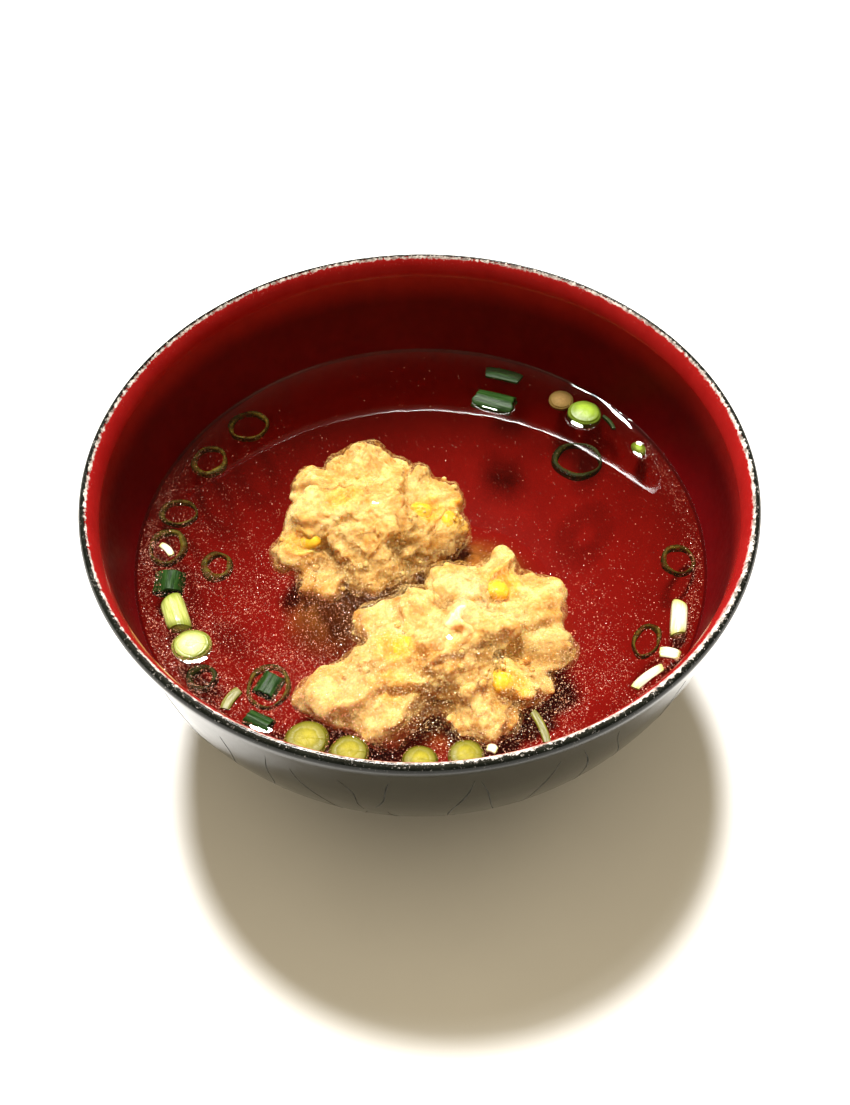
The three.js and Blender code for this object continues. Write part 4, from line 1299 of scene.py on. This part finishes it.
FLOOR_HALF = 2.5        # metres
CAMERA_PLACE = (0.0008, -0.1349, 0.2114)
CAMERA_RIGHT = (0.9999, -0.0090, -0.0070)
CAMERA_UP = (0.0114, 0.7891, 0.6141)
CAMERA_BACK = (0.0, -0.6141, 0.7892)
LENS = 38.6
LAMP_FROM = (-0.0905, 0.3826, 0.9197)
LAMP_WIDTH = 13.0       # degrees
LAMP_STRENGTH = 10.0
UPPER_LAMP_FROM = (-0.050, 0.300, 0.9526)
UPPER_LAMP_WIDTH = 8.0
UPPER_LAMP_STRENGTH = 0.7
FILL_COLOUR = (1.0, 0.83, 0.56)
FILL_STRENGTH = 1.52
MIRROR_SIDE = (0.0, 0.62, 0.785)


def make_floor():
    """A plain pale floor under the foot."""
    material, tree, inputs = new_material("pale_floor", Roughness=0.55, Specular_IOR_Level=0.2)
    colour = mottled(tree, millimetres(tree), 90.0, (0.78, 0.78, 0.77), (0.82, 0.82, 0.81), 1.0)
    tree.links.new(colour, inputs["Base Color"])
    mesh = bpy.data.meshes.new("pale_floor")
    half = FLOOR_HALF
    mesh.from_pydata([(-half, -half, 0), (half, -half, 0), (half, half, 0), (-half, half, 0)], [],
                     [(0, 1, 2, 3)])
    mesh.materials.append(material)
    floor = bpy.data.objects.new("pale_floor", mesh)
    bpy.context.scene.collection.objects.link(floor)


def make_sun(name, toward, width, strength):
    """A lamp far off in a direction, as wide as this many degrees."""
    sun = bpy.data.lights.new(name, "SUN")
    sun.energy = strength
    sun.angle = math.radians(width)
    sun.color = (1.0, 0.98, 0.95)
    lamp = bpy.data.objects.new(name, sun)
    x, y, z = toward
    lamp.rotation_euler = (math.acos(z), 0.0, math.atan2(y, x) + math.pi / 2)
    bpy.context.scene.collection.objects.link(lamp)


def make_light():
    """A strong lamp behind and above with a small one over it, and a soft warm sky, brightest
    overhead, low at the sides and dark behind the bowl. Seen directly the sky is plain pale."""
    make_sun("lamp", LAMP_FROM, LAMP_WIDTH, LAMP_STRENGTH)
    make_sun("upper_lamp", UPPER_LAMP_FROM, UPPER_LAMP_WIDTH, UPPER_LAMP_STRENGTH)
    world = bpy.data.worlds.new("room")
    world.use_nodes = True
    bpy.context.scene.world = world
    tree = world.node_tree
    aim = add_node(tree, "TexCoord").outputs["Generated"]
    facing = add_node(tree, "VectorMath", {0: aim, 1: MIRROR_SIDE}, operation="DOT_PRODUCT").outputs["Value"]
    dim = ramped(tree, facing, 0.80, 0.95, 1.0, 0.05)
    rise = add_node(tree, "SeparateXYZ", {0: aim}).outputs[2]
    overhead = ramped(tree, rise, 0.50, 0.95, 0.06, 1.0)
    fill = times(tree, times(tree, dim, overhead), FILL_STRENGTH)
    seen = add_node(tree, "LightPath").outputs["Is Camera Ray"]
    sky = tree.nodes["Background"].inputs
    tree.links.new(mixed(tree, seen, FILL_COLOUR, (1.0, 1.0, 1.0)), sky["Color"])
    tree.links.new(add_node(tree, "Mix", {0: seen, 2: fill, 3: 0.95}, data_type="FLOAT").outputs[0],
                   sky["Strength"])


def make_camera():
    """The camera, from its place and its own three axes."""
    view = bpy.data.cameras.new("camera")
    view.lens = LENS
    view.sensor_width = 36.0
    view.clip_start = 0.01
    eye = bpy.data.objects.new("camera", view)
    right, up, back = (np.array(v) / np.linalg.norm(v) for v in (CAMERA_RIGHT, CAMERA_UP, CAMERA_BACK))
    frame_axes = np.eye(4)
    frame_axes[:3, 0], frame_axes[:3, 1], frame_axes[:3, 2] = right, up, back
    frame_axes[:3, 3] = CAMERA_PLACE
    eye.matrix_world = Matrix(frame_axes.tolist())
    bpy.context.scene.collection.objects.link(eye)
    bpy.context.scene.camera = eye


make_camera()
make_light()
make_floor()
make_bowl()
make_cut_lines()
broth_edge = make_broth_body()
make_meatball("back", 11)
make_meatball("front", 12)
for index, kernel in enumerate(KERNELS, 1):
    make_kernel(index, *kernel)
make_onion_pieces()
make_oil_drops("oil_drops_left", lambda x, y: x < -8, broth_edge, 77)
make_oil_drops("oil_drops_right", lambda x, y: x >= -8, broth_edge, 78)
make_sediment_heap()
make_crumbs()
bpy.context.scene.view_settings.view_transform = "Standard"
